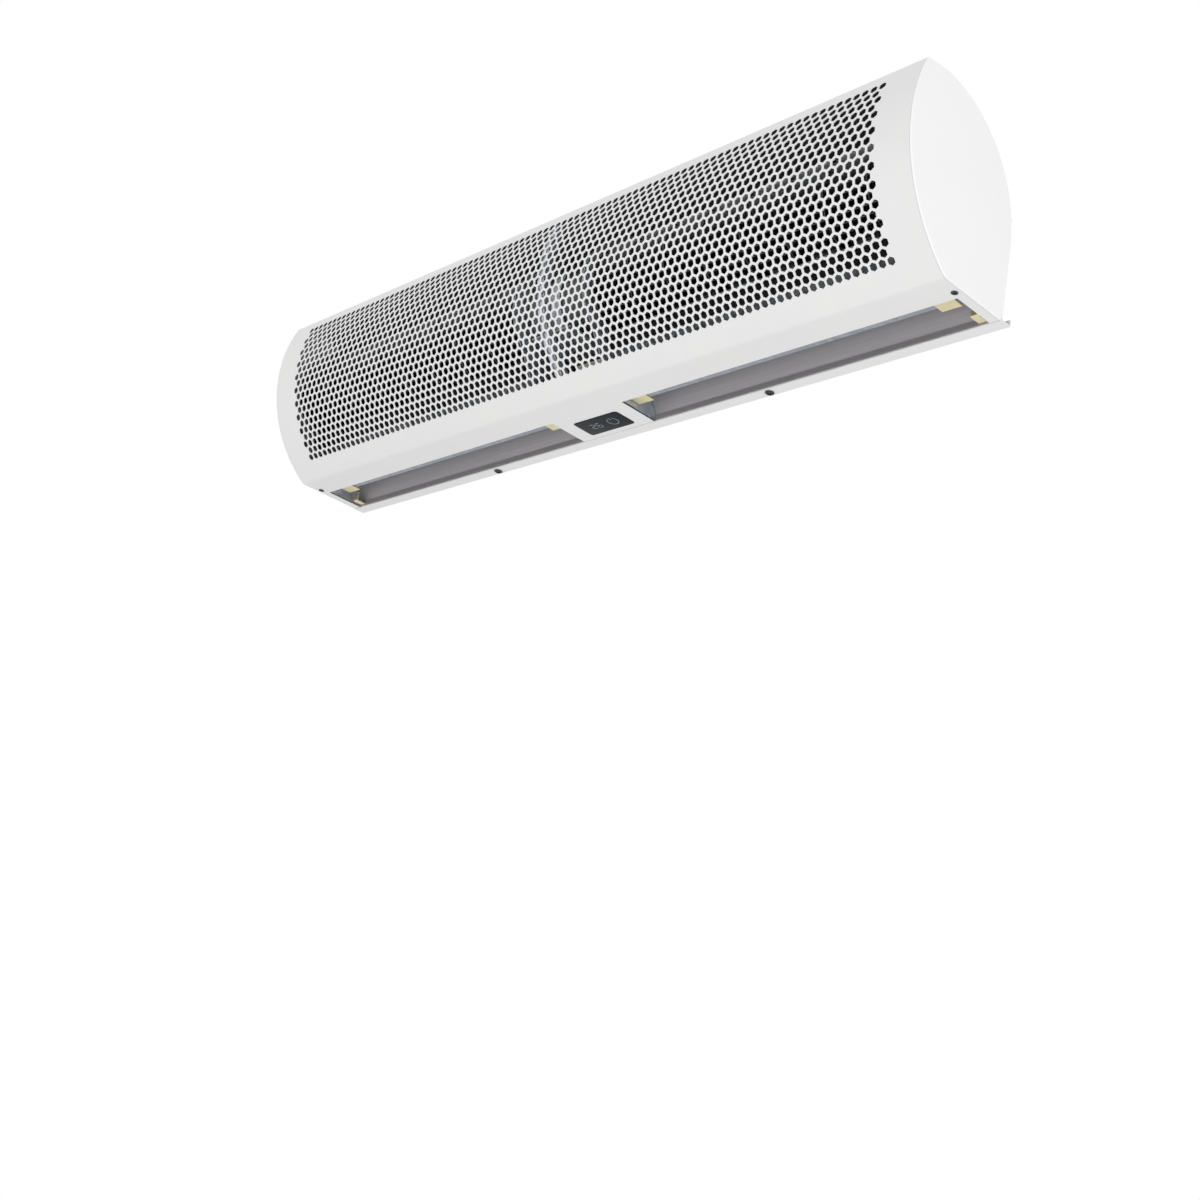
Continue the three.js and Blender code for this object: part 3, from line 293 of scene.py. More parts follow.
finishes["black_rubber"] = moulding("black_rubber", "#1e1e20", "#252527", 0.8)
finishes["pale_moulding"] = moulding("pale_plastic", "#dad7ce", "#d2cec3", 0.5)
finishes["dark_moulding"] = moulding("dark_plastic", "#3a3b3e", "#303134", 0.5)
finishes["blue_moulding"] = moulding("blue_plastic", "#2b4a7d", "#26426f", 0.45)
finishes["board_laminate"] = moulding("green_laminate", "#2f5d3a", "#294f33", 0.4, grain_mm=0.8)


def black_glass(name):
    material, tree, shader, place = blank_material(name, Metallic=0.0, IOR=1.52, Specular_IOR_Level=0.1)
    feed(tree, two_tone(tree, noise(tree, place, 15), "#0e151b", "#121a22"), shader, "Base Color")
    feed(tree, between(tree, noise(tree, place, 4), 0.05, 0.09), shader, "Roughness")
    return material


finishes["display_glass"] = black_glass("black_glass")
finishes["display_marks"] = moulding("pale_print_on_glass", "#8c9ba6", "#7f8e99", 0.35, 1.0, 0.01)
print("finishes:", len(finishes))

# %% [markdown]
# ## Finishes on the carried-over pieces
# Each CAD node names its material slot in the record, so its finish is looked up there.

# %% Give every node its finish
slot_of = {part["node"]: part["material_slot"] for part in frame["record"]["subparts"]}
for name, node in nodes.items():
    node.data.materials.clear()
    node.data.materials.append(finishes[slot_of[name]])
print("dressed", len(slot_of), "nodes")

# %% [markdown]
# ## The casing's section
# Cut across, the casing is a closed outline: flat underside, small bend, long bow of 143 mm radius, tight
# bend at the top, short top run, and a round back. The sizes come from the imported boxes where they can, and
# the radii are those of the real sheet. Arcs are worked out by formula, so the skins are smooth where the
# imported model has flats.

# %% Sizes of the section, in metres
front_lo, front_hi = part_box("front_cover")
end_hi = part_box("end_panel_right")[1]
BASE = front_lo.z  # underside
TOP = front_hi.z
FRONT_RADIUS = 143 * MM
BOW_HEIGHT = 120 * MM  # the bow's centre over the underside
BOW_CENTRE = np.array([front_lo.y + FRONT_RADIUS, BASE + BOW_HEIGHT])
REAR_RADIUS = 106.5 * MM
BACK_LINE = -10.5 * MM  # flat of the back, off the wall
BACK_CENTRE = np.array([BACK_LINE - REAR_RADIUS, TOP - REAR_RADIUS])
CREST = np.array([BACK_CENTRE[0], TOP])
TOP_DROP = 3 * MM
SKIN = 1.2 * MM  # rear shell
COVER_SHEET = 0.7 * MM  # thin, so that slanting looks still pass its holes
LOWER_BEND = 8 * MM
UPPER_BEND = 2 * MM
THIN_SHEET = 1 * MM  # scrolls, tongues and brackets
GAP = 0.3 * MM  # clearance round the display, under the lap and at the screws' seats
print("bow centre", BOW_CENTRE.round(4), "back centre", BACK_CENTRE.round(4))

# %% Arcs and bends


def arc(centre, radius, start, end, steps):
    """Points centre + radius (cos a, sin a), with a from start to end in equal steps, in degrees."""
    a = np.radians(np.linspace(start, end, steps + 1))
    return centre + radius * np.stack([np.cos(a), np.sin(a)], 1)


def bend_on_bow(point, along, outward, bend):
    """Centre of a bend inside the bow that also touches a line: it lies bend inside the line and
    FRONT_RADIUS - bend from the bow's centre, which is a quadratic in the distance along the line."""
    start = point - bend * outward - BOW_CENTRE
    b, c = start @ along, start @ start - (FRONT_RADIUS - bend) ** 2
    return BOW_CENTRE + start + (np.sqrt(b * b - c) - b) * along


def heading(vector):
    """Angle of a vector in degrees, from 0 to 360."""
    return np.degrees(np.arctan2(vector[1], vector[0])) % 360


corner_z = TOP - TOP_DROP
corner_y = BOW_CENTRE[0] - np.sqrt(FRONT_RADIUS ** 2 - (corner_z - BOW_CENTRE[1]) ** 2)
top_run = np.array([corner_y, corner_z]) - CREST
top_run = top_run / np.linalg.norm(top_run)
top_out = np.array([top_run[1], -top_run[0]])
lower_bend = bend_on_bow(np.array([0.0, BASE]), np.array([-1.0, 0.0]), np.array([0.0, -1.0]), LOWER_BEND)
upper_bend = bend_on_bow(CREST, top_run, top_out, UPPER_BEND)
BOW_FOOT = heading(lower_bend - BOW_CENTRE)
BOW_HEAD = heading(upper_bend - BOW_CENTRE)
print("bow from", round(BOW_FOOT, 2), "to", round(BOW_HEAD, 2), "degrees")

# %% [markdown]
# ## Sheets from a profile
# Bent sheet metal is a profile pushed along the casing. `sheet_cells` takes the profile's points and the
# places along x, drops the cells where there is a window, and gives the rest a thickness: an outer skin, an
# inner skin one thickness along the normal, and a wall wherever a kept cell meets nothing. Everything is
# done on whole arrays.

# %% Sheets
SAME_POINT = 0.001 * MM


def normals_of(profile):
    """Unit normals of an open profile: its tangent, from the points on both sides, turned a right angle."""
    t = np.gradient(profile, axis=0)
    t /= np.linalg.norm(t, axis=1)[:, None]
    return np.stack([-t[:, 1], t[:, 0]], 1)


def at(x, profile):
    """Points (x, y, z) for every profile point and every x: shape profile by x by 3."""
    grid = np.empty((len(profile), len(x), 3))
    grid[..., 0] = x
    grid[..., 1:] = profile[:, None, :]
    return grid


def sheet_cells(x, profile, inward, thickness, state=None):
    """Vertices and quads of a sheet. state is 1 for a cell that is sheet, 0 for a window and 2 for a cell
    that another mesh fills, by profile step and x step; walls stand where 1 meets 0 or the outside."""
    x, n, m = np.asarray(x, float), len(profile), len(x)
    state = np.ones((n - 1, m - 1), int) if state is None else state
    index = np.arange(n * m).reshape(n, m)
    back = index + n * m
    skins = at(x, profile), at(x, profile + inward * thickness)
    points = np.concatenate([skin.reshape(-1, 3) for skin in skins])
    kept = state == 1
    outer = np.stack([index[:-1, :-1], index[:-1, 1:], index[1:, 1:], index[1:, :-1]], -1)[kept]
    inner = np.stack([back[:-1, :-1], back[1:, :-1], back[1:, 1:], back[:-1, 1:]], -1)[kept]
    framed = np.pad(state, 1)
    walls = []
    for step, a, b in (((-1, 0), (0, 0), (0, 1)), ((0, 1), (0, 1), (1, 1)), ((1, 0), (1, 1), (1, 0)),
                       ((0, -1), (1, 0), (0, 0))):
        beside = framed[1 + step[0]:n + step[0], 1 + step[1]:m + step[1]]
        rows, columns = np.nonzero(kept & (beside == 0))
        first, second = index[rows + a[0], columns + a[1]], index[rows + b[0], columns + b[1]]
        walls.append(np.stack([first, back.ravel()[first], back.ravel()[second], second], -1))
    return points, np.concatenate([outer, inner, *walls])


# %% [markdown]
# ## From meshes to pieces
# A piece is put together from several meshes. Points that fall on the same place are merged, which closes
# the seams between them. Faces that look into the casing can get a dark coat of painted shade.

# %% Pieces and coats
CASING_MIDDLE = (-90 * MM, 35 * MM)  # y and z


def mesh_piece(name, parts, material, sharp_angle=30):
    """One mesh object from a list of (vertices, faces): the lists are put end to end, equal points are
    merged, loose ones dropped, edges sharper than sharp_angle are kept crisp, and many-sided faces are
    shaded flat."""
    points = np.concatenate([p for p, _ in parts])
    shifts = np.cumsum([0] + [len(p) for p, _ in parts[:-1]])
    faces = [np.asarray(f) + shift for (_, f), shift in zip(parts, shifts)]
    _, first, same = np.unique(np.round(points / SAME_POINT).astype(np.int64), axis=0,
                               return_index=True, return_inverse=True)
    faces = [same.reshape(-1)[f] for f in faces]
    used, packed = np.unique(np.concatenate([f.ravel() for f in faces]), return_inverse=True)
    sizes = np.concatenate([np.full(len(f), f.shape[1]) for f in faces])
    mesh = bpy.data.meshes.new(name)
    mesh.vertices.add(len(used))
    mesh.vertices.foreach_set("co", points[first[used]].astype(np.float32).ravel())
    mesh.loops.add(int(sizes.sum()))
    mesh.loops.foreach_set("vertex_index", packed.astype(np.int32).ravel())
    mesh.polygons.add(len(sizes))
    mesh.polygons.foreach_set("loop_start", np.concatenate([[0], np.cumsum(sizes)[:-1]]).astype(np.int32))
    mesh.update(calc_edges=True)
    mesh.validate()
    mesh.polygons.foreach_set("use_smooth", sizes <= 4)
    mesh.set_sharp_from_angle(angle=np.radians(sharp_angle))
    mesh.materials.append(material)
    piece = bpy.data.objects.new(name, mesh)
    bpy.context.scene.collection.objects.link(piece)
    print(name, "has", len(used), "vertices and", len(sizes), "faces")
    return piece


def shade_faces_facing(piece, coat=inner_painted_shade, point=CASING_MIDDLE):
    """Gives a coat of painted shade to the faces that look at a point (y, z) to within 60 degrees: with n
    their normal and c their centre, n . (point - c) > |point - c| / 2."""
    count = len(piece.data.polygons)
    normal, centre = np.empty(3 * count, np.float32), np.empty(3 * count, np.float32)
    piece.data.polygons.foreach_get("normal", normal)
    piece.data.polygons.foreach_get("center", centre)
    towards = np.array(point) - centre.reshape(-1, 3)[:, 1:]
    facing = (normal.reshape(-1, 3)[:, 1:] * towards).sum(1) > 0.5 * np.linalg.norm(towards, axis=1)
    piece.data.materials.append(coat)
    piece.data.polygons.foreach_set("material_index", facing.astype(np.int32))
    print("shade_faces_facing", int(facing.sum()), "of", count, "faces")


def stands_for(piece, body, slot, *names):
    """The piece rides on a body and is shown instead of the named nodes. The slot argument is not used."""
    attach(piece, body)
    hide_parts(*names)


# %% [markdown]
# ## The perforated front
# The front is punched with hexagons, 9 mm apart in rows that are staggered by half a pitch. Cutting 1922
# holes with booleans would be slow and messy. Here each hole brings its own hexagonal cell of sheet: six
# quads between the hole and the cell's edge, the same behind, and six across the thickness. Neighbouring
# cells share their corners, so the cells close up like a honeycomb; small triangles and five-sided pieces
# square off its border.

# %% Honeycomb of the perforated field
PITCH = 9 * MM
COLUMNS = 92
ROWS = 21
OPEN = 0.75  # hole to cell, across flats
ROW_STEP = PITCH * np.sqrt(0.75)
FIELD_FOOT = 228.49  # degrees round the bow, lower border of the field
HALF_FIELD = COLUMNS * PITCH / 2
TIP, SIDE = PITCH / np.sqrt(3), PITCH / np.sqrt(12)  # a cell's middle to its corner, and half of its side
FIRST_ROW = np.radians(FIELD_FOOT) - TIP / FRONT_RADIUS
LAST_ROW = (ROWS - 1) * ROW_STEP
MIDDLES = (np.arange(COLUMNS) - (COLUMNS - 1) / 2) * PITCH  # along x, in the longer rows


def honeycomb():
    """Flat pattern in (x, s), s measured round the bow from the first row: at every hole a ring of quads
    between hexagons of radius TIP and OPEN * TIP. Gives points, quads and the holes' edges."""
    row = np.concatenate([np.full(COLUMNS - r % 2, r) for r in range(ROWS)])
    column = np.concatenate([np.arange(COLUMNS - r % 2) - (COLUMNS - r % 2 - 1) / 2 for r in range(ROWS)])
    centre = np.stack([column * PITCH, row * ROW_STEP], 1)
    a = np.radians(90 + 60 * np.arange(6))
    hexagon = TIP * np.stack([np.cos(a), np.sin(a)], 1)
    rings = np.concatenate([centre[:, None] + hexagon, centre[:, None] + OPEN * hexagon], 1)
    base = 12 * np.arange(len(centre))[:, None]
    k, j = np.arange(6), (np.arange(6) + 1) % 6
    ring = (base[:, :, None] + np.stack([k, j, j + 6, k + 6], 1)).reshape(-1, 4)
    hole = (base[:, :, None] + np.stack([k + 6, j + 6], 1)).reshape(-1, 2)
    return rings.reshape(-1, 2), ring, hole


def border_fillers():
    """Triangles below the lowest row and above the highest, and five-sided pieces beside the shorter rows,
    as corners (x, s)."""
    triangles = []
    for s, up in ((0.0, -1), (LAST_ROW, 1)):
        left = np.stack([MIDDLES[:-1], MIDDLES[:-1] + PITCH / 2, MIDDLES[1:]], 1)
        heights = np.broadcast_to(s + up * np.array([TIP, SIDE, TIP]), left.shape)
        triangles.append(np.stack([left, heights], -1)[:, ::up])
        for end in (-1, 1):
            corner = np.array([[end * HALF_FIELD, s + up * SIDE], [end * HALF_FIELD, s + up * TIP],
                               [end * (HALF_FIELD - PITCH / 2), s + up * TIP]])
            triangles.append(corner[None, ::up * end])
    s = np.arange(1, ROWS, 2)[:, None] * ROW_STEP
    beside = []
    for end in (-1, 1):
        x = end * (HALF_FIELD - PITCH / 2 * np.array([0, 1, 1, 0, 0]))
        heights = s + np.array([SIDE - ROW_STEP, -SIDE, SIDE, ROW_STEP - SIDE, 0])
        beside.append(np.stack([np.broadcast_to(x, heights.shape), heights], -1)[:, ::-end])
    return np.concatenate(triangles), np.concatenate(beside)


def round_the_bow(flat, depth):
    """(x, s) to (x, y, z): s turns into an angle round the bow's centre, on a radius depth less than the
    bow's."""
    angle = FIRST_ROW - flat[..., 1] / FRONT_RADIUS
    r = FRONT_RADIUS - depth
    y, z = BOW_CENTRE[0] + r * np.cos(angle), BOW_CENTRE[1] + r * np.sin(angle)
    return np.stack([flat[..., 0], y, z], -1)


def perforated_field():
    """The honeycomb and its fillers on the bow's outside and inside, with the walls of the holes."""
    flat, ring, hole = honeycomb()
    triangles, beside = border_fillers()
    parts = []
    for depth, flip in ((0.0, 1), (COVER_SHEET, -1)):
        parts.append((round_the_bow(flat, depth), ring[:, ::flip]))
        for shapes in (triangles, beside):
            corners = round_the_bow(shapes, depth)[:, ::flip]
            parts.append((corners.reshape(-1, 3), np.arange(corners.shape[0] * corners.shape[1])
                          .reshape(corners.shape[:2])))
    both = np.concatenate([round_the_bow(flat, 0.0), round_the_bow(flat, COVER_SHEET)])
    wall = np.stack([hole[:, 1] + len(flat), hole[:, 0] + len(flat), hole[:, 0], hole[:, 1]], 1)
    return parts + [(both, wall)]


field = perforated_field()
print("holes:", len(field[-1][1]) // 6)

# %% [markdown]
# ## The rest of the front cover
# Round the field the cover is plain sheet: the underside with its two outlets, the window for the display,
# both bends, and the top run to the seam.

# %% Sizes of the cover
COVER_END = front_hi.x
OUTLET_FRONT = -57.6 * MM
OUTLET_IN, OUTLET_OUT = 50 * MM, 439 * MM
SEAM = front_hi.y
lens_lo, lens_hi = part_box("display_lens")
WINDOW_CORNER = 3.8 * MM
WINDOW_X = lens_hi.x + GAP
FAR_Y, NEAR_Y = lens_lo.y - GAP, lens_hi.y + GAP  # the window's edge to the room, and to the wall
window_steps = (NEAR_Y, NEAR_Y - WINDOW_CORNER, FAR_Y + WINDOW_CORNER, FAR_Y)
print("window in mm:", round(2 * WINDOW_X / MM, 1), "by", round((NEAR_Y - FAR_Y) / MM, 1))

# %% Border of the field
border_s = np.concatenate([[-TIP], np.arange(-SIDE, LAST_ROW + 2 * SIDE, 2 * SIDE), [LAST_ROW + TIP]])
border_line = round_the_bow(np.column_stack([0 * border_s, border_s]), 0.0)[:, 1:]
FIELD_STEPS = len(border_s) - 1
FIELD_HEAD = np.degrees(FIRST_ROW - border_s[-1] / FRONT_RADIUS)
print("field from", FIELD_FOOT, "to", round(FIELD_HEAD, 2), "degrees, in", FIELD_STEPS, "steps")

# %% Profile of the cover, from the seam in the underside to the crest
BEND_STEPS = 6
LOW_STEPS, HIGH_STEPS = 3, 2  # plain steps of the bow, below and above the field

underside = np.array([[y, BASE] for y in (SEAM, *window_steps, OUTLET_FRONT)])
cover_profile = np.concatenate([
    underside,
    arc(lower_bend, LOWER_BEND, 270, BOW_FOOT, BEND_STEPS),
    arc(BOW_CENTRE, FRONT_RADIUS, BOW_FOOT, FIELD_FOOT, LOW_STEPS)[1:-1],
    border_line,
    arc(BOW_CENTRE, FRONT_RADIUS, FIELD_HEAD, BOW_HEAD, HIGH_STEPS)[1:],
    arc(upper_bend, UPPER_BEND, BOW_HEAD, heading(top_out), BEND_STEPS)[1:],
    CREST[None],
])
BOW_POINT = len(underside) + BEND_STEPS
FIELD_POINT = BOW_POINT + LOW_STEPS
FIELD_END = FIELD_POINT + FIELD_STEPS
cover_inward = -normals_of(cover_profile)
on_bow = slice(BOW_POINT, FIELD_END + HIGH_STEPS + 1)
cover_inward[on_bow] = (BOW_CENTRE - cover_profile[on_bow]) / FRONT_RADIUS
print("profile of", len(cover_profile), "points, the field's from", FIELD_POINT, "to", FIELD_END)

# %% Windows of the cover
PLAIN_STEPS = 23  # of the plain sheet, over the field's length
edges = np.array([COVER_END, OUTLET_OUT, HALF_FIELD, OUTLET_IN, WINDOW_X, WINDOW_X - WINDOW_CORNER])
along = np.unique(np.concatenate([-edges, edges, np.linspace(-HALF_FIELD, HALF_FIELD, PLAIN_STEPS + 1)]))
middle_x = (along[:-1] + along[1:]) / 2
middle_y, middle_z = ((cover_profile[:-1] + cover_profile[1:]) / 2).T
state = np.ones((len(middle_y), len(middle_x)), int)
x_out = abs(middle_x)  # how far out a cell lies
under = (middle_z < BASE + SAME_POINT)[:, None]
behind = (middle_y > OUTLET_FRONT)[:, None]
outlet = under & behind & (x_out > OUTLET_IN) & (x_out < OUTLET_OUT)
from_edge = np.minimum(NEAR_Y - middle_y, middle_y - FAR_Y)[:, None]  # the window's nearer long edge
display = under & (from_edge > 0) & (x_out < WINDOW_X)
window_corner = display & (from_edge < WINDOW_CORNER) & (x_out > WINDOW_X - WINDOW_CORNER)
rows = np.arange(len(middle_y))[:, None]
in_field = (rows >= FIELD_POINT - 1) & (rows <= FIELD_END) & (x_out < HALF_FIELD)
state[outlet | display] = 0
state[in_field | window_corner] = 2
windows, filled = int((state == 0).sum()), int((state == 2).sum())
print("cells:", state.size, "windows:", windows, "filled by others:", filled)

# %% [markdown]
# ## Seams of the cover
# The field has a point at every hole and the plain sheet has far fewer, so strips of triangles join the two.
# Fans of triangles round the corners of the display window.

# %% Strips between the field and the plain sheet


def zipped(x_low, x_high, step):
    """Triangles between two lines of the profile whose places along x differ. The places of both are sorted
    together; each new one makes a triangle with the last one before it on either line. The outer skin comes
    first, then the inner one."""
    grid = np.concatenate([x_low[1:], x_high[1:]])
    order = np.argsort(grid, kind="stable")
    is_low = order < len(x_low) - 1
    low, high = np.cumsum(is_low), np.cumsum(~is_low)
    new = np.where(is_low, low, len(x_low) + high)
    faces = np.stack([low - is_low, new, len(x_low) + high - ~is_low], 1)
    strips = []
    for depth, flip in ((0.0, 1), (COVER_SHEET, -1)):
        lines = cover_profile[step:step + 2] + cover_inward[step:step + 2] * depth
        points = np.concatenate([at(x, line[None])[0] for x, line in zip((x_low, x_high), lines)])
        strips.append((points, faces[:, ::flip]))
    return strips


plain_x = along[abs(along) < HALF_FIELD + SAME_POINT]
border_x = np.array([-HALF_FIELD, *MIDDLES, HALF_FIELD])
strips = zipped(plain_x, border_x, FIELD_POINT - 1) + zipped(border_x, plain_x, FIELD_END)
print("strips:", len(strips), "of", len(strips[0][1]), "triangles")

# %% Round corners of the display window
FAN_STEPS = 8


def corner_filler(side_x, side_y):
    """A fan of triangles between a window's corner and the arc that rounds it, below and above, with the
    wall along the arc; side_x and side_y are -1 or 1."""
    a = np.linspace(0, np.pi / 2, FAN_STEPS + 1)
    corner = np.array([side_x * WINDOW_X, NEAR_Y if side_y > 0 else FAR_Y])
    middle = corner - WINDOW_CORNER * np.array([side_x, side_y])
    round_edge = middle + WINDOW_CORNER * np.stack([side_x * np.cos(a), side_y * np.sin(a)], 1)
    flat = np.concatenate([corner[None], round_edge])
    n = len(flat)
    points = np.concatenate([np.column_stack([flat, np.full(n, z)]) for z in (BASE, BASE + COVER_SHEET)])
    i = np.arange(1, FAN_STEPS + 1)
    fan = np.stack([0 * i, i, i + 1], 1)
    wall = np.stack([i, i + 1, i + 1 + n, i + n], 1)
    order = side_x * side_y
    return [(points, fan[:, ::order]), (points, fan[:, ::-order] + n), (points, wall[:, ::-order])]


fillers = [part for side_x in (-1, 1) for side_y in (-1, 1) for part in corner_filler(side_x, side_y)]
cover_sheet = sheet_cells(along, cover_profile, cover_inward, COVER_SHEET, state)
cover_parts = [cover_sheet] + field + strips + fillers
cover = mesh_piece("front_cover_sheet", cover_parts, finishes["painted_casing"])
# the cover's faces that look into the casing get the dull grey painted shade
shade_faces_facing(cover)
stands_for(cover, "casing", "painted_casing", "front_cover")

# %% [markdown]
# ## End panels
# Each end is a flat plate of 1.5 mm sheet whose edge is rolled over, so a fine highlight runs round it. Its
# outline is the casing's own section, drawn as one closed loop. `lofted_plate` draws the loop inwards step
# by step while it rises, which rounds the edge, and closes it with a cap on both sides. A folded rim
# reaches in under the cover.

# %% Plates from a closed outline


def closed_inset(loop, distance):
    """A counter-clockwise loop drawn inwards: each point moves along (n1 + n2) / (1 + n1 . n2), with n1 and
    n2 the inward normals of its two edges."""
    edge = np.roll(loop, -1, 0) - loop
    edge = edge / np.linalg.norm(edge, axis=1)[:, None]
    after = np.stack([-edge[:, 1], edge[:, 0]], 1)
    before = np.roll(after, 1, 0)
    return loop + distance * (after + before) / (1 + (after * before).sum(1))[:, None]


def lofted_plate(loop, steps, place):
    """Rings of a counter-clockwise loop, one for each (inset, height), the highest first, with quads
    between them and a many-sided cap at both ends; place turns flat points and a height into space."""
    n, rings = len(loop), len(steps)
    points = np.concatenate([place(closed_inset(loop, inset), height) for inset, height in steps])
    i = np.arange(n)
    j = (i + 1) % n
    k = n * np.arange(rings - 1)[:, None]
    sides = np.stack([k + i, k + n + i, k + n + j, k + j], -1).reshape(-1, 4)
    return [(points, sides), (points, np.stack([i, n * (rings - 1) + i[::-1]]))]


def rolled_edge(radius, face, inward):
    """(inset, height) steps of an edge rounded by a quarter circle, from the flat face to the side."""
    a = np.radians(np.linspace(90, 0, 6))
    return list(zip(radius * (1 - np.cos(a)), face + inward * radius * (1 - np.sin(a))))


# %% End panels
HALF_LENGTH = end_hi.x
PANEL = 1.5 * MM
EDGE_RADIUS = 1.2 * MM
NOTCH_Y, NOTCH_Z = -12.6 * MM, BASE + 1.5 * MM
RIM_START = 440.8 * MM
RIM = 1.2 * MM
LAP_Y, LAP_HALF, LAP_DEPTH = -123.5 * MM, 9 * MM, 12 * MM  # where the rim makes way for the shell's lap
BACK_STEPS = 48

section_front = cover_profile[len(underside):]
section_back = arc(BACK_CENTRE, REAR_RADIUS, 90, 0, BACK_STEPS)[1:]
notch = np.array([[BACK_LINE, NOTCH_Z], [NOTCH_Y, NOTCH_Z], [NOTCH_Y, BASE]])
outline = np.concatenate([section_front, section_back, notch])[::-1]


def in_section(flat, x):
    """Flat (y, z) points and their place along x, as space points."""
    return np.column_stack([np.full(len(flat), x), flat])


rim_line = closed_inset(outline, SKIN + GAP)[len(notch):][::-1]
rim_y, rim_z = ((rim_line[:-1] + rim_line[1:]) / 2).T
rim_state = np.where((abs(rim_y - LAP_Y) < LAP_HALF) & (rim_z > TOP - LAP_DEPTH), 0, 1)[:, None]
for side, sign in (("left", -1), ("right", 1)):
    steps = rolled_edge(EDGE_RADIUS, sign * HALF_LENGTH, -sign) + [(0.0, sign * (HALF_LENGTH - PANEL))]
    rim_x = sorted((sign * RIM_START, sign * (HALF_LENGTH - PANEL)))
    rim = sheet_cells(rim_x, rim_line, -normals_of(rim_line), RIM, rim_state)
    panel = mesh_piece(f"end_panel_{side}_plate", lofted_plate(outline, steps[::sign], in_section) + [rim],
                       finishes["painted_end_panel"])
    stands_for(panel, "casing", "painted_end_panel", f"end_panel_{side}")

# %% [markdown]
# ## Bent strips
# Brackets, tongues, duct walls and the rear shell are flat sheet with a few bends. Their section starts as
# a line with corners. `rounded` puts an arc of the real bend radius into each corner, and `bent` pushes the
# section along the casing.

# %% Rounded corners and bent strips


def section(*points_mm):
    """Points given in millimetres, wall at y = 0 and underside at z = 0, in metres of the frame."""
    return np.array(points_mm, float) * MM + [0, BASE]


def rounded(path, radii_mm, steps=6):
    """A line whose corners are arcs: an arc of radius r touches both legs r / tan(half) from the corner,
    half being half the angle there, and its centre lies r / sin(half) away on the bisector."""
    parts = [path[:1]]
    for before, corner, after, radius in zip(path, path[1:], path[2:], np.array(radii_mm) * MM):
        u, v = (leg / np.linalg.norm(leg) for leg in (before - corner, after - corner))
        half = np.arccos(u @ v) / 2
        centre = corner + (u + v) / np.linalg.norm(u + v) * radius / np.sin(half)
        start, end = (heading(corner + leg * radius / np.tan(half) - centre) for leg in (u, v))
        parts.append(arc(centre, radius, start, start + (end - start + 180) % 360 - 180, steps))
    return np.concatenate([*parts, path[-1:]])


def bent(profile, thickness, x, state=None):
    """A profile pushed along x, with its thickness to the right of its direction."""
    return sheet_cells(x, profile, -normals_of(profile), thickness, state)


# %% [markdown]
# ## Rear shell
# The round back is one sheet. Its upper edge steps down by one thickness and slips under the front cover;
# its foot has two tabs for the screws of the bottom flange, and a hole for the supply cable.

# %% Rear shell
LAP = 13 * MM
JOGGLE = 2.4  # degrees of the back
CABLE_X, CABLE_Z, CABLE_HOLE = 250 * MM, BASE + 40 * MM, 9.3 * MM
TAB_X, TAB_HALF = 194 * MM, 11 * MM
slope = TOP_DROP / (CREST[0] - corner_y)
lip = np.array([[CREST[0] - LAP, TOP - slope * LAP - SKIN - GAP], [CREST[0] + GAP, TOP - SKIN - GAP]])
patch_steps = np.linspace(-12, 12, 9) * MM  # the square round the cable hole
PATCH = len(patch_steps) - 1
shell_profile = np.concatenate([
    lip, arc(BACK_CENTRE, REAR_RADIUS, 90 - JOGGLE, 0, BACK_STEPS),
    [[BACK_LINE, CABLE_Z - step] for step in patch_steps], [[BACK_LINE, NOTCH_Z]]])
shell_x = np.array([-COVER_END, *(CABLE_X + patch_steps), COVER_END])
shell_state = np.ones((len(shell_profile) - 1, len(shell_x) - 1), int)
shell_state[-1 - PATCH:-1, 1:-1] = 2


def holed_square(centre_x, centre_z, radius, y_out, y_in):
    """A square with a round hole in the plane of the back: a quad from each step of its border to the
    circle, whose points lie on the lines to the middle, on both faces, and the hole's wall."""
    edge = patch_steps[:-1]
    full = np.full(PATCH, patch_steps[-1])
    sides = (full, edge), (-edge, full), (-full, -edge), (edge, -full)
    square = np.concatenate([np.stack(side, 1) for side in sides])
    circle = radius * square / np.linalg.norm(square, axis=1)[:, None]
    x, z = (np.concatenate([square, circle]) + [centre_x, centre_z]).T
    points = np.concatenate([np.stack([x, np.full(len(x), y), z], 1) for y in (y_out, y_in)])
    n = len(square)
    i = np.arange(n)
    j = (i + 1) % n
    face = np.stack([i, j, j + n, i + n], 1)
    wall = np.stack([i + n, i + 3 * n, j + 3 * n, j + n], 1)
    return [(points, face[:, ::-1]), (points, face + 2 * n), (points, wall)]


tab = section((-1.5, 1.5), (-11.1, 1.5))
tabs = [bent(tab, SKIN, (s * TAB_X - TAB_HALF, s * TAB_X + TAB_HALF)) for s in (-1, 1)]
shell = mesh_piece("rear_shell_sheet", [bent(shell_profile, SKIN, shell_x, shell_state), *tabs]
                   + holed_square(CABLE_X, CABLE_Z, CABLE_HOLE, BACK_LINE, BACK_LINE - SKIN),
                   finishes["painted_casing"])
# the shell's faces that look into the casing get the dull grey painted shade
shade_faces_facing(shell)
stands_for(shell, "casing", "painted_casing", "rear_shell")

# %% [markdown]
# ## Duct walls and tongues
# Behind each wheel a scroll opens slowly: its radius grows in proportion to the angle, from 3.5 to 11 mm
# outside the wheel. Below, it drops straight and flares towards the outlet. In front a tongue rises from
# the outlet's edge, with a folded hem that catches the light, and curls over close to the wheel. Its front
# is painted black above the line that the lowest row of holes looks at, and its zinc a darker grey than the
# other sheet: both are painted shade.

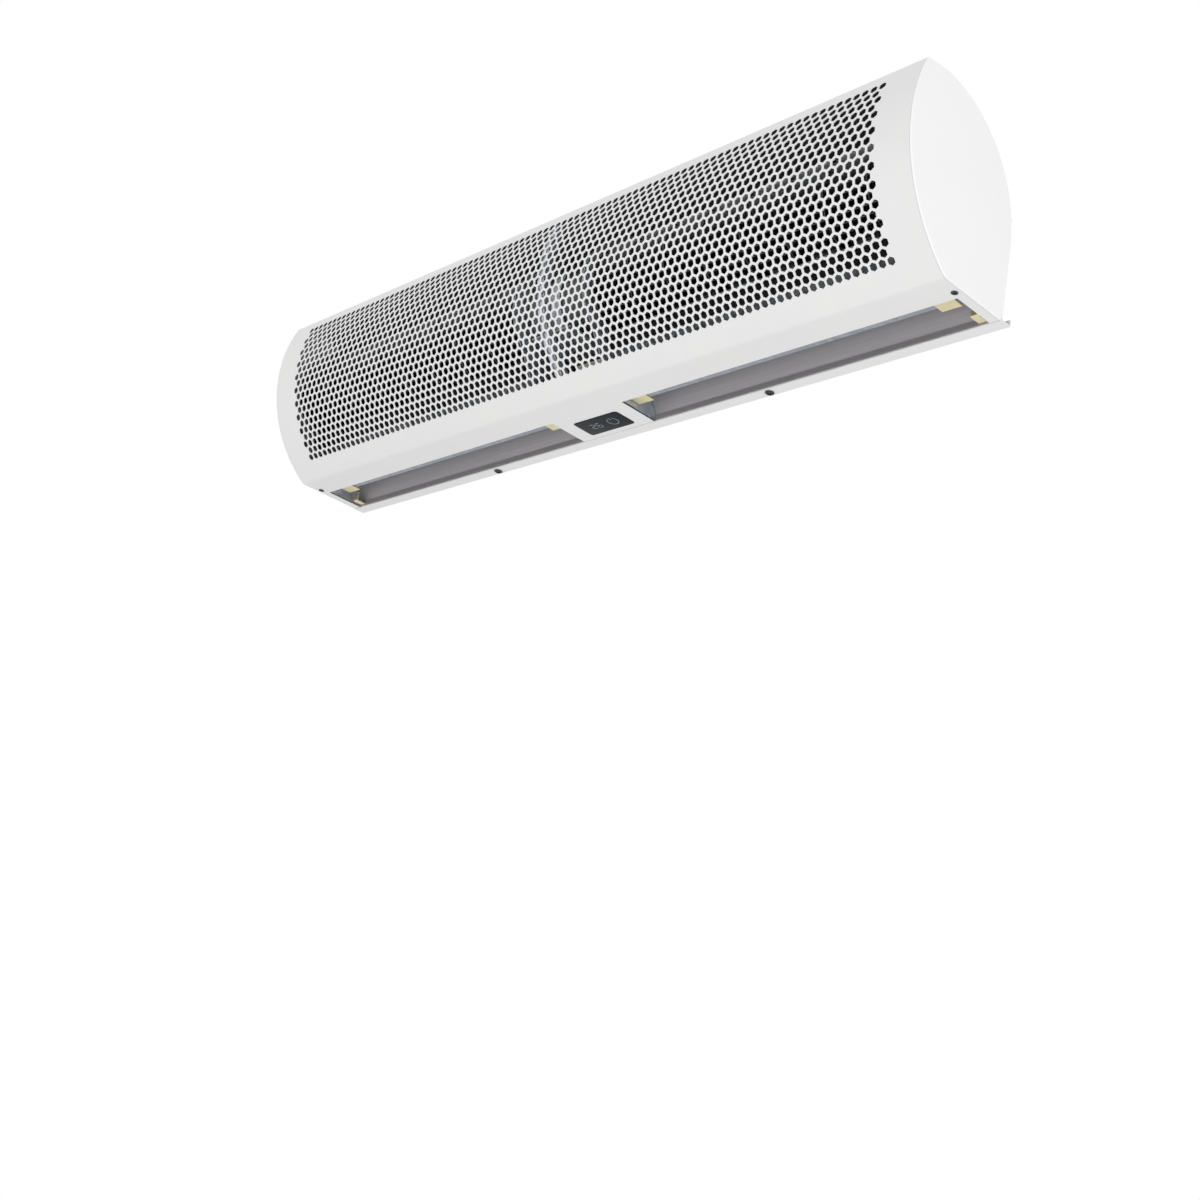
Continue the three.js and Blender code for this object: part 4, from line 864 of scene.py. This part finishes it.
# %% Section of the scrolls
shaft_lo, shaft_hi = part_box("motor_shaft")
AXIS = np.array([(shaft_lo.y + shaft_hi.y) / 2, (shaft_lo.z + shaft_hi.z) / 2])
WHEEL_RADIUS = 46 * MM
SCROLL_TURN = 110  # degrees, from its start over the wheel down to its lower end
SCROLL_GAP, SCROLL_OPENS = 3.5 * MM, 7.5 * MM  # off the wheel at the start, and what the end adds to it

share = np.linspace(0, 1, 48)[:, None]
swing = np.radians(SCROLL_TURN * (1 - share))
scroll_radius = WHEEL_RADIUS + SCROLL_GAP + SCROLL_OPENS * share
opening = AXIS + scroll_radius * np.hstack([np.cos(swing), np.sin(swing)])
drop = rounded(np.concatenate([opening[-1:], section((-24, 24), (-13, 7), (-13, 1.5))]), (10, 4))
scroll_profile = np.concatenate([opening, drop[1:]])[::-1]
print("scroll opens to", round(float(scroll_radius[-1, 0]) / MM, 1), "mm from the fan axis")

# %% Section of the tongues
CURL_ANGLE, CURL_OFF, CURL_RADIUS = np.radians(-105), 10 * MM, 5 * MM  # the curl's place round the wheel
TONGUE_FOOT = BASE + 9.6 * MM  # the notch at the outer end takes what lies below this
TONGUE_NOTCH = 9 * MM
# the tongues' front is painted black from this height up, as painted shade
TONGUE_SHADE_HEIGHT = -8 * MM  # the height from which the tongues' front is black
LOOK_OFF = 12 * MM  # from the tongue to the point that its black part faces

curl = AXIS + (WHEEL_RADIUS + CURL_OFF) * np.array([np.cos(CURL_ANGLE), np.sin(CURL_ANGLE)])
lip_curl = arc(curl, CURL_RADIUS, 50, 200, 16)
foot = rounded(np.concatenate([section((-69.6, 8), (-38.5, 8)), lip_curl[:1]]), (1.3,))
rise = foot[-1] - foot[-2]
shade_start = foot[-2] + rise * (TONGUE_SHADE_HEIGHT - foot[-2, 1]) / rise[1]
tongue_profile = np.concatenate([foot[:-1], [shade_start], lip_curl])[::-1]
tongue_z = (tongue_profile[:-1, 1] + tongue_profile[1:, 1]) / 2
forward = np.array([-rise[1], rise[0]]) / np.linalg.norm(rise)
ahead = (shade_start + lip_curl[0]) / 2 + LOOK_OFF * forward
print("tongue black from", shade_start.round(4), "to", lip_curl[0].round(4), "seen from", ahead.round(4))

# %% Scrolls and tongues of both ducts
for side, sign in (("left", -1), ("right", 1)):
    duct_lo, duct_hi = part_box(f"scroll_{side}")
    scroll_sheet = bent(scroll_profile, THIN_SHEET, (duct_lo.x, duct_hi.x))
    scroll = mesh_piece(f"scroll_{side}_sheet", [scroll_sheet], finishes["dark_duct_sheet"])
    stands_for(scroll, "casing", "dark_duct_sheet", f"scroll_{side}")
    outer_end = sign * max(abs(duct_lo.x), abs(duct_hi.x))
    tongue_x = sorted((duct_lo.x, duct_hi.x, outer_end - sign * TONGUE_NOTCH))
    tongue_state = np.ones((len(tongue_z), 2), int)
    tongue_state[tongue_z < TONGUE_FOOT, int(sign > 0)] = 0
    tongue_sheet = bent(tongue_profile, THIN_SHEET, tongue_x, tongue_state)
    tongue = mesh_piece(f"tongue_{side}_sheet", [tongue_sheet], tongue_zinc_painted_darker)
    # the tongue's front above the line gets the black painted shade
    shade_faces_facing(tongue, tongue_front_shade, ahead)
    stands_for(tongue, "casing", "galvanised_sheet", f"tongue_{side}")

# %% [markdown]
# ## Brackets in the outlets
# Each tongue's foot stands on two stepped clips, and a small angle sits in the rear outer corner of each
# outlet. They are 1 mm strip, so their bends are about as tight as the sheet is thick.

# %% Clips and corner brackets
clip_profile = rounded(section((-69.6, 1.5), (-59.6, 1.5), (-59.6, 6.7), (-37, 6.7)), (1.4, 0.5))[::-1]
angle_profile = rounded(section((-13.3, 2.2), (-25.3, 2.2), (-25.3, 12.2)), (1.3,))
for side in ("left", "right"):
    for kind, profile in (("tongue_clip_inner", clip_profile), ("tongue_clip_outer", clip_profile),
                          ("outlet_bracket", angle_profile)):
        lo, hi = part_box(f"{kind}_{side}")
        strip = mesh_piece(f"{kind}_{side}_strip", [bent(profile, THIN_SHEET, (lo.x, hi.x))],
                           finishes["yellow_passivated_steel"])
        stands_for(strip, "casing", "yellow_passivated_steel", f"{kind}_{side}")

# %% [markdown]
# ## Fan wheels
# A cross-flow wheel is a long cage of thin curved blades, staked into rings. One blade is a short arc
# pushed along the wheel; copies of it are turned about the fan axis in one step, as one array. The rings
# and end discs are profiles turned about the same axis.

# %% Turned shapes and blades
BLADES = 36
BORE = 34 * MM
BLADE_THICK = 0.7 * MM
RINGS = 7  # rings between the end discs
RING_THICK, DISC_THICK = 1.2 * MM, 2 * MM
HUB_BORE, SHAFT_BORE = 14.3 * MM, 4.3 * MM  # radii of the holes for the hub and for the shaft


def on_axis(along, u, v):
    """Axis coordinates to space: along x, with u and v across it, about the fan axis."""
    return np.stack(np.broadcast_arrays(along, AXIS[0] + u, AXIS[1] + v), -1)


def turned(profile, place=on_axis, steps=72):
    """A closed profile (along, r), counter-clockwise, turned about an axis: (along, r cos a, r sin a)."""
    a = 2 * np.pi * np.arange(steps) / steps
    along, r = profile[:, :1], profile[:, 1:]
    points = place(along, r * np.cos(a), r * np.sin(a)).reshape(-1, 3)
    i = np.arange(len(profile))[:, None]
    ahead, j = (i + 1) % len(profile), np.arange(steps)
    beside = (j + 1) % steps
    quads = np.stack([i * steps + j, ahead * steps + j, ahead * steps + beside, i * steps + beside], -1)
    return points, quads.reshape(-1, 4)


def disc(start, thick, inner, outer, edge=0.3 * MM):
    """Profile of a flat ring with its outer edge chamfered."""
    end = start + thick
    return np.array([[start, inner], [end, inner], [end, outer - edge], [end - edge, outer],
                     [start + edge, outer], [start, outer - edge]])


def around(points, faces, count):
    """Copies of a mesh turned about the fan axis in equal steps."""
    a = (2 * np.pi * np.arange(count) / count)[:, None]
    y, z = points[:, 1] - AXIS[0], points[:, 2] - AXIS[1]
    copies = on_axis(points[:, 0], y * np.cos(a) - z * np.sin(a), y * np.sin(a) + z * np.cos(a))
    shifts = len(points) * np.arange(count)[:, None, None]
    return copies.reshape(-1, 3), (faces + shifts).reshape(-1, faces.shape[1])


# %% Fan wheels
BLADE_LEAN = 13  # degrees that the inner edge runs ahead of the outer one
BLADE_END = 1 * MM  # from the wheel's end to the blades' end
BLADE_INSET, RING_INSET = 0.5 * MM, 1 * MM  # blades end inside the rim, and rings reach into the bore

reach = np.linspace(0, 1, 7)[:, None]
lean = np.radians(BLADE_LEAN * (1 - reach) ** 1.6)
blade_radius = BORE + (WHEEL_RADIUS - BLADE_INSET - BORE) * reach
blade_line = AXIS + blade_radius * np.hstack([np.cos(lean), np.sin(lean)])
for side in ("left", "right"):
    lo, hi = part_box(f"impeller_{side}")
    blades = around(*bent(blade_line, BLADE_THICK, (lo.x + BLADE_END, hi.x - BLADE_END)), BLADES)
    places = np.linspace(lo.x, hi.x - RING_THICK, RINGS + 2)[1:-1]
    rings = [turned(disc(x, RING_THICK, BORE - RING_INSET, WHEEL_RADIUS)) for x in places]
    near, far = (lo.x, hi.x - DISC_THICK) if side == "right" else (hi.x - DISC_THICK, lo.x)
    ends = [turned(disc(start, DISC_THICK, bore, WHEEL_RADIUS))
            for start, bore in ((near, HUB_BORE), (far, SHAFT_BORE))]
    wheel = mesh_piece(f"impeller_{side}_blades", [blades, *rings, *ends], finishes["aluminium_wheel"])
    stands_for(wheel, "rotor", "aluminium_wheel", f"impeller_{side}")

# %% [markdown]
# ## Motor
# The motor's middle is a stack of thin steel sheets between two drawn shells. The stack shows as fine
# steps, drawn coarser than the real 0.5 mm sheets so that they can be seen.

# %% Motor body
motor_lo, motor_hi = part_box("motor_body")
MOTOR_RADIUS = 41 * MM
STACK_HALF = 21 * MM
STACK_INSET, SHEET_STEP = 0.6 * MM, 0.25 * MM  # the stack under the shells, and a sheet under its neighbour
MOTOR_POINTS = 137

motor_x = np.linspace(motor_hi.x, motor_lo.x, MOTOR_POINTS)
stack = abs(motor_x) < STACK_HALF
sunk = STACK_INSET + SHEET_STEP * (np.arange(MOTOR_POINTS) % 4 < 2)
skin = np.column_stack([motor_x, MOTOR_RADIUS - np.where(stack, sunk, 0)])
bore = np.array([[motor_lo.x, SHAFT_BORE], [motor_hi.x, SHAFT_BORE]])
motor_turned = turned(np.concatenate([bore, skin]), steps=96)
motor = mesh_piece("motor_body_stack", [motor_turned], finishes["motor_steel"])
stands_for(motor, "casing", "motor_steel", "motor_body")

# %% [markdown]
# ## Display
# The touch display is a slip of black glass with rounded corners, standing 0.5 mm proud. Behind it a few
# pale marks show faintly when it is off: two digits in the usual seven strokes, and a ring with a gap and a
# stroke. They are thin ribbons on the glass.

# %% Lens
LENS_CORNER, LENS_EDGE = 3.5 * MM, 0.5 * MM
lens_centre = np.array([(lens_lo.x + lens_hi.x) / 2, (lens_lo.y + lens_hi.y) / 2])
half_lens = np.array([(lens_hi.x - lens_lo.x) / 2, (lens_hi.y - lens_lo.y) / 2]) - LENS_CORNER
quarters = [arc(lens_centre + half_lens * corner, LENS_CORNER, start, start + 90, 8)
            for corner, start in (((1, 1), 0), ((-1, 1), 90), ((-1, -1), 180), ((1, -1), 270))]
lens_steps = [(0.0, lens_hi.z)] + rolled_edge(LENS_EDGE, lens_lo.z, 1)[::-1]


def level(flat, z):
    """Flat (x, y) points at a height."""
    return np.column_stack([flat, np.full(len(flat), z)])


lens = mesh_piece("display_lens_glass", lofted_plate(np.concatenate(quarters), lens_steps, level),
                  finishes["display_glass"])
stands_for(lens, "casing", "display_glass", "display_lens")

# %% Marks on the lens
MARK_WIDTH = 0.7 * MM
MARK_PROUD, MARK_SUNK = 0.04 * MM, 0.2 * MM  # a mark's height over the glass, and its depth in it
DIGIT_WIDTH, DIGIT_HEIGHT = 5 * MM, 8 * MM
DIGITS = ((-17 * MM, "abged"), (-9 * MM, "afgecd"))  # left edge and strokes
STROKE_SHARE = 0.84  # of a stroke's full length, so that strokes don't touch
RING_PLACE, RING_RADIUS, RING_STROKE = 13 * MM, 6 * MM, (-7 * MM, -2.4 * MM)
STROKES = {"a": ((0, 1), (1, 1)), "b": ((1, 1), (1, 0.5)), "c": ((1, 0.5), (1, 0)), "d": ((0, 0), (1, 0)),
           "e": ((0, 0), (0, 0.5)), "f": ((0, 0.5), (0, 1)), "g": ((0, 0.5), (1, 0.5))}


def ribbon(path, width=MARK_WIDTH):
    """A flat line on the glass: four rails beside the path, left and right of it, below and above."""
    n = normals_of(path) * width / 2
    low, high = lens_lo.z - MARK_PROUD, lens_lo.z + MARK_SUNK
    corners = (n, low), (-n, low), (-n, high), (n, high)
    rails = np.stack([level(path + offset, z) for offset, z in corners], 1)
    i, k = 4 * np.arange(len(path) - 1)[:, None], np.arange(4)
    beside = (k + 1) % 4
    sides = np.stack([i + k, i + 4 + k, i + 4 + beside, i + beside], -1).reshape(-1, 4)
    last = 4 * (len(path) - 1)
    ends = [[0, 1, 2, 3], [last + 3, last + 2, last + 1, last]]
    return rails.reshape(-1, 3), np.concatenate([sides, ends])


def digit(left, strokes):
    """Digit of the named strokes; its top points to the front, as one reads it from below. Each stroke runs
    between its middle minus and plus STROKE_SHARE of its half length."""
    corner = lens_centre + [left, DIGIT_HEIGHT / 2]
    size = np.array([DIGIT_WIDTH, -DIGIT_HEIGHT])
    ends = np.array([STROKES[name] for name in strokes])
    middles = ends.mean(1, keepdims=True)
    return [ribbon(path) for path in corner + size * (middles + STROKE_SHARE * (ends - middles))]


ring_centre = lens_centre + [RING_PLACE, 0]
marks = [stroke for left, strokes in DIGITS for stroke in digit(left, strokes)]
marks.append(ribbon(arc(ring_centre, RING_RADIUS, -60, 240, 36)))
marks.append(ribbon(ring_centre + np.array([[0, y] for y in RING_STROKE])))
mark_piece = mesh_piece("display_marks", marks, finishes["display_marks"])
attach(mark_piece, "casing")

# %% [markdown]
# ## Screws
# The screws have low round heads with a cross recess, and a threaded shank. Head and shank are turned
# shapes; the recess is pressed into the head where a point lies within about half a millimetre of the
# middle line of either arm of the cross.

# %% Screws
THREAD_PITCH, THREAD_RADIUS, THREAD_DEPTH = 0.8 * MM, 2 * MM, 0.35 * MM
CORE = 0.05 * MM  # a thin bore keeps the shank's middle free of pinched faces
ARM_WIDTH, ARM_LENGTH, ARM_DEPTH = 0.14, 0.6, 0.6  # the cross, as shares of the head's radius and height


def screw_parts(node):
    """Head and shank of a screw driven upwards, about the middle of its node's box. At r times its radius
    the dome stands height * sqrt(1 - 0.85 r ** 2) over the seat."""
    lo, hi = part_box(node)
    x, y = (lo.x + hi.x) / 2, (lo.y + hi.y) / 2
    head, seat = (hi.x - lo.x) / 2, BASE - GAP
    height = seat - lo.z

    def upright(along, u, v):
        return np.stack(np.broadcast_arrays(x + u, y + v, along), -1)

    r = np.linspace(0.999, 0.02, 14)
    dome = np.column_stack([seat - height * np.sqrt(1 - 0.85 * r ** 2), r * head])
    head_mesh, quads = turned(np.concatenate([[[seat, 0.02 * head], [seat, head]], dome]), upright, 48)
    u, v = abs(head_mesh[:, 0] - x), abs(head_mesh[:, 1] - y)
    in_cross = (np.minimum(u, v) < ARM_WIDTH * head) & (np.maximum(u, v) < ARM_LENGTH * head)
    head_mesh[in_cross & (head_mesh[:, 2] < seat - 0.2 * height), 2] += ARM_DEPTH * height
    z = np.linspace(seat, hi.z, 41)
    thread = THREAD_RADIUS - THREAD_DEPTH * abs(2 * ((z / THREAD_PITCH) % 1) - 1)
    shank = np.concatenate([[[hi.z, CORE], [seat, CORE]], np.column_stack([z, thread])])[::-1]
    return [(head_mesh, quads), turned(shank, upright, 24)]


for node in ("flange_screw_left", "flange_screw_right", "corner_screw_left", "corner_screw_right"):
    screw = mesh_piece(f"{node}_cross_head", screw_parts(node), finishes["screw_steel"])
    stands_for(screw, "casing", "screw_steel", node)

# %% [markdown]
# ## Floor, light and background
# The floor is a plain pale plane far below, because the casing hangs over a door. Large soft lamps stand to
# the right, in front and underneath, and the world adds even light. Rays from the camera, and mirror and
# glass rays, see plain white, while the light on the object stays at the level at which a colour renders as
# it was written.

# %% Floor and lights
FLOOR_Z, FLOOR_HALF = -1.5, 8.0  # metres

floor_mesh = bpy.data.meshes.new("floor")
floor_corners = [(x * FLOOR_HALF, y * FLOOR_HALF, FLOOR_Z) for x, y in ((-1, -1), (1, -1), (1, 1), (-1, 1))]
floor_mesh.from_pydata(floor_corners, [], [(0, 1, 2, 3)])
floor = bpy.data.objects.new("floor", floor_mesh)
bpy.context.scene.collection.objects.link(floor)
floor_material, floor_tree, floor_shader, floor_place = blank_material("pale_floor", Roughness=0.9)
floor_tones = two_tone(floor_tree, noise(floor_tree, floor_place, 300), "#f4f4f4", "#f1f1f1")
feed(floor_tree, floor_tones, floor_shader, "Base Color")
floor_mesh.materials.append(floor_material)


def lamp(name, place, aim, size, power):
    """A square area lamp, size metres wide, that looks from place to aim and isn't seen by the camera."""
    data = bpy.data.lights.new(name, "AREA")
    data.size, data.energy = size, power
    made = bpy.data.objects.new(name, data)
    turn = (aim - place).to_track_quat("-Z", "Y").to_matrix().to_4x4()
    made.matrix_world = Matrix.Translation(place) @ turn
    made.visible_camera = False
    bpy.context.scene.collection.objects.link(made)


lamp("right_lamp", Vector((2.4, -0.6, 0.1)), Vector((0.45, -0.08, 0)), size=1.6, power=7.5)
lamp("front_lamp", Vector((-0.6, -2.4, -0.3)), Vector((0, -0.1, 0)), size=1.8, power=6.6)
lamp("low_lamp", Vector((0.5, -0.55, -1.4)), Vector((0, -0.05, -0.05)), size=1.4, power=7.4)

world = bpy.data.worlds.new("studio")
bpy.context.scene.world = world
world.use_nodes = True
sky = world.node_tree
sky.nodes.clear()
rays = add(sky, "ShaderNodeLightPath").outputs
seen = add(sky, "ShaderNodeMath", {0: rays["Is Camera Ray"], 1: rays["Is Glossy Ray"]}, operation="MAXIMUM")
seen = add(sky, "ShaderNodeMath", {0: seen.outputs[0], 1: rays["Is Transmission Ray"]}, operation="MAXIMUM")
even = add(sky, "ShaderNodeBackground", {"Color": linear("#ffffff"), "Strength": 0.8})
white = add(sky, "ShaderNodeBackground", {"Color": linear("#ffffff"), "Strength": 1.0})
both = add(sky, "ShaderNodeMixShader", {0: seen.outputs[0], 1: even.outputs[0], 2: white.outputs[0]})
add(sky, "ShaderNodeOutputWorld", {"Surface": both.outputs[0]})
bpy.context.scene.view_settings.view_transform = "Standard"
print("lamps and world are in place")
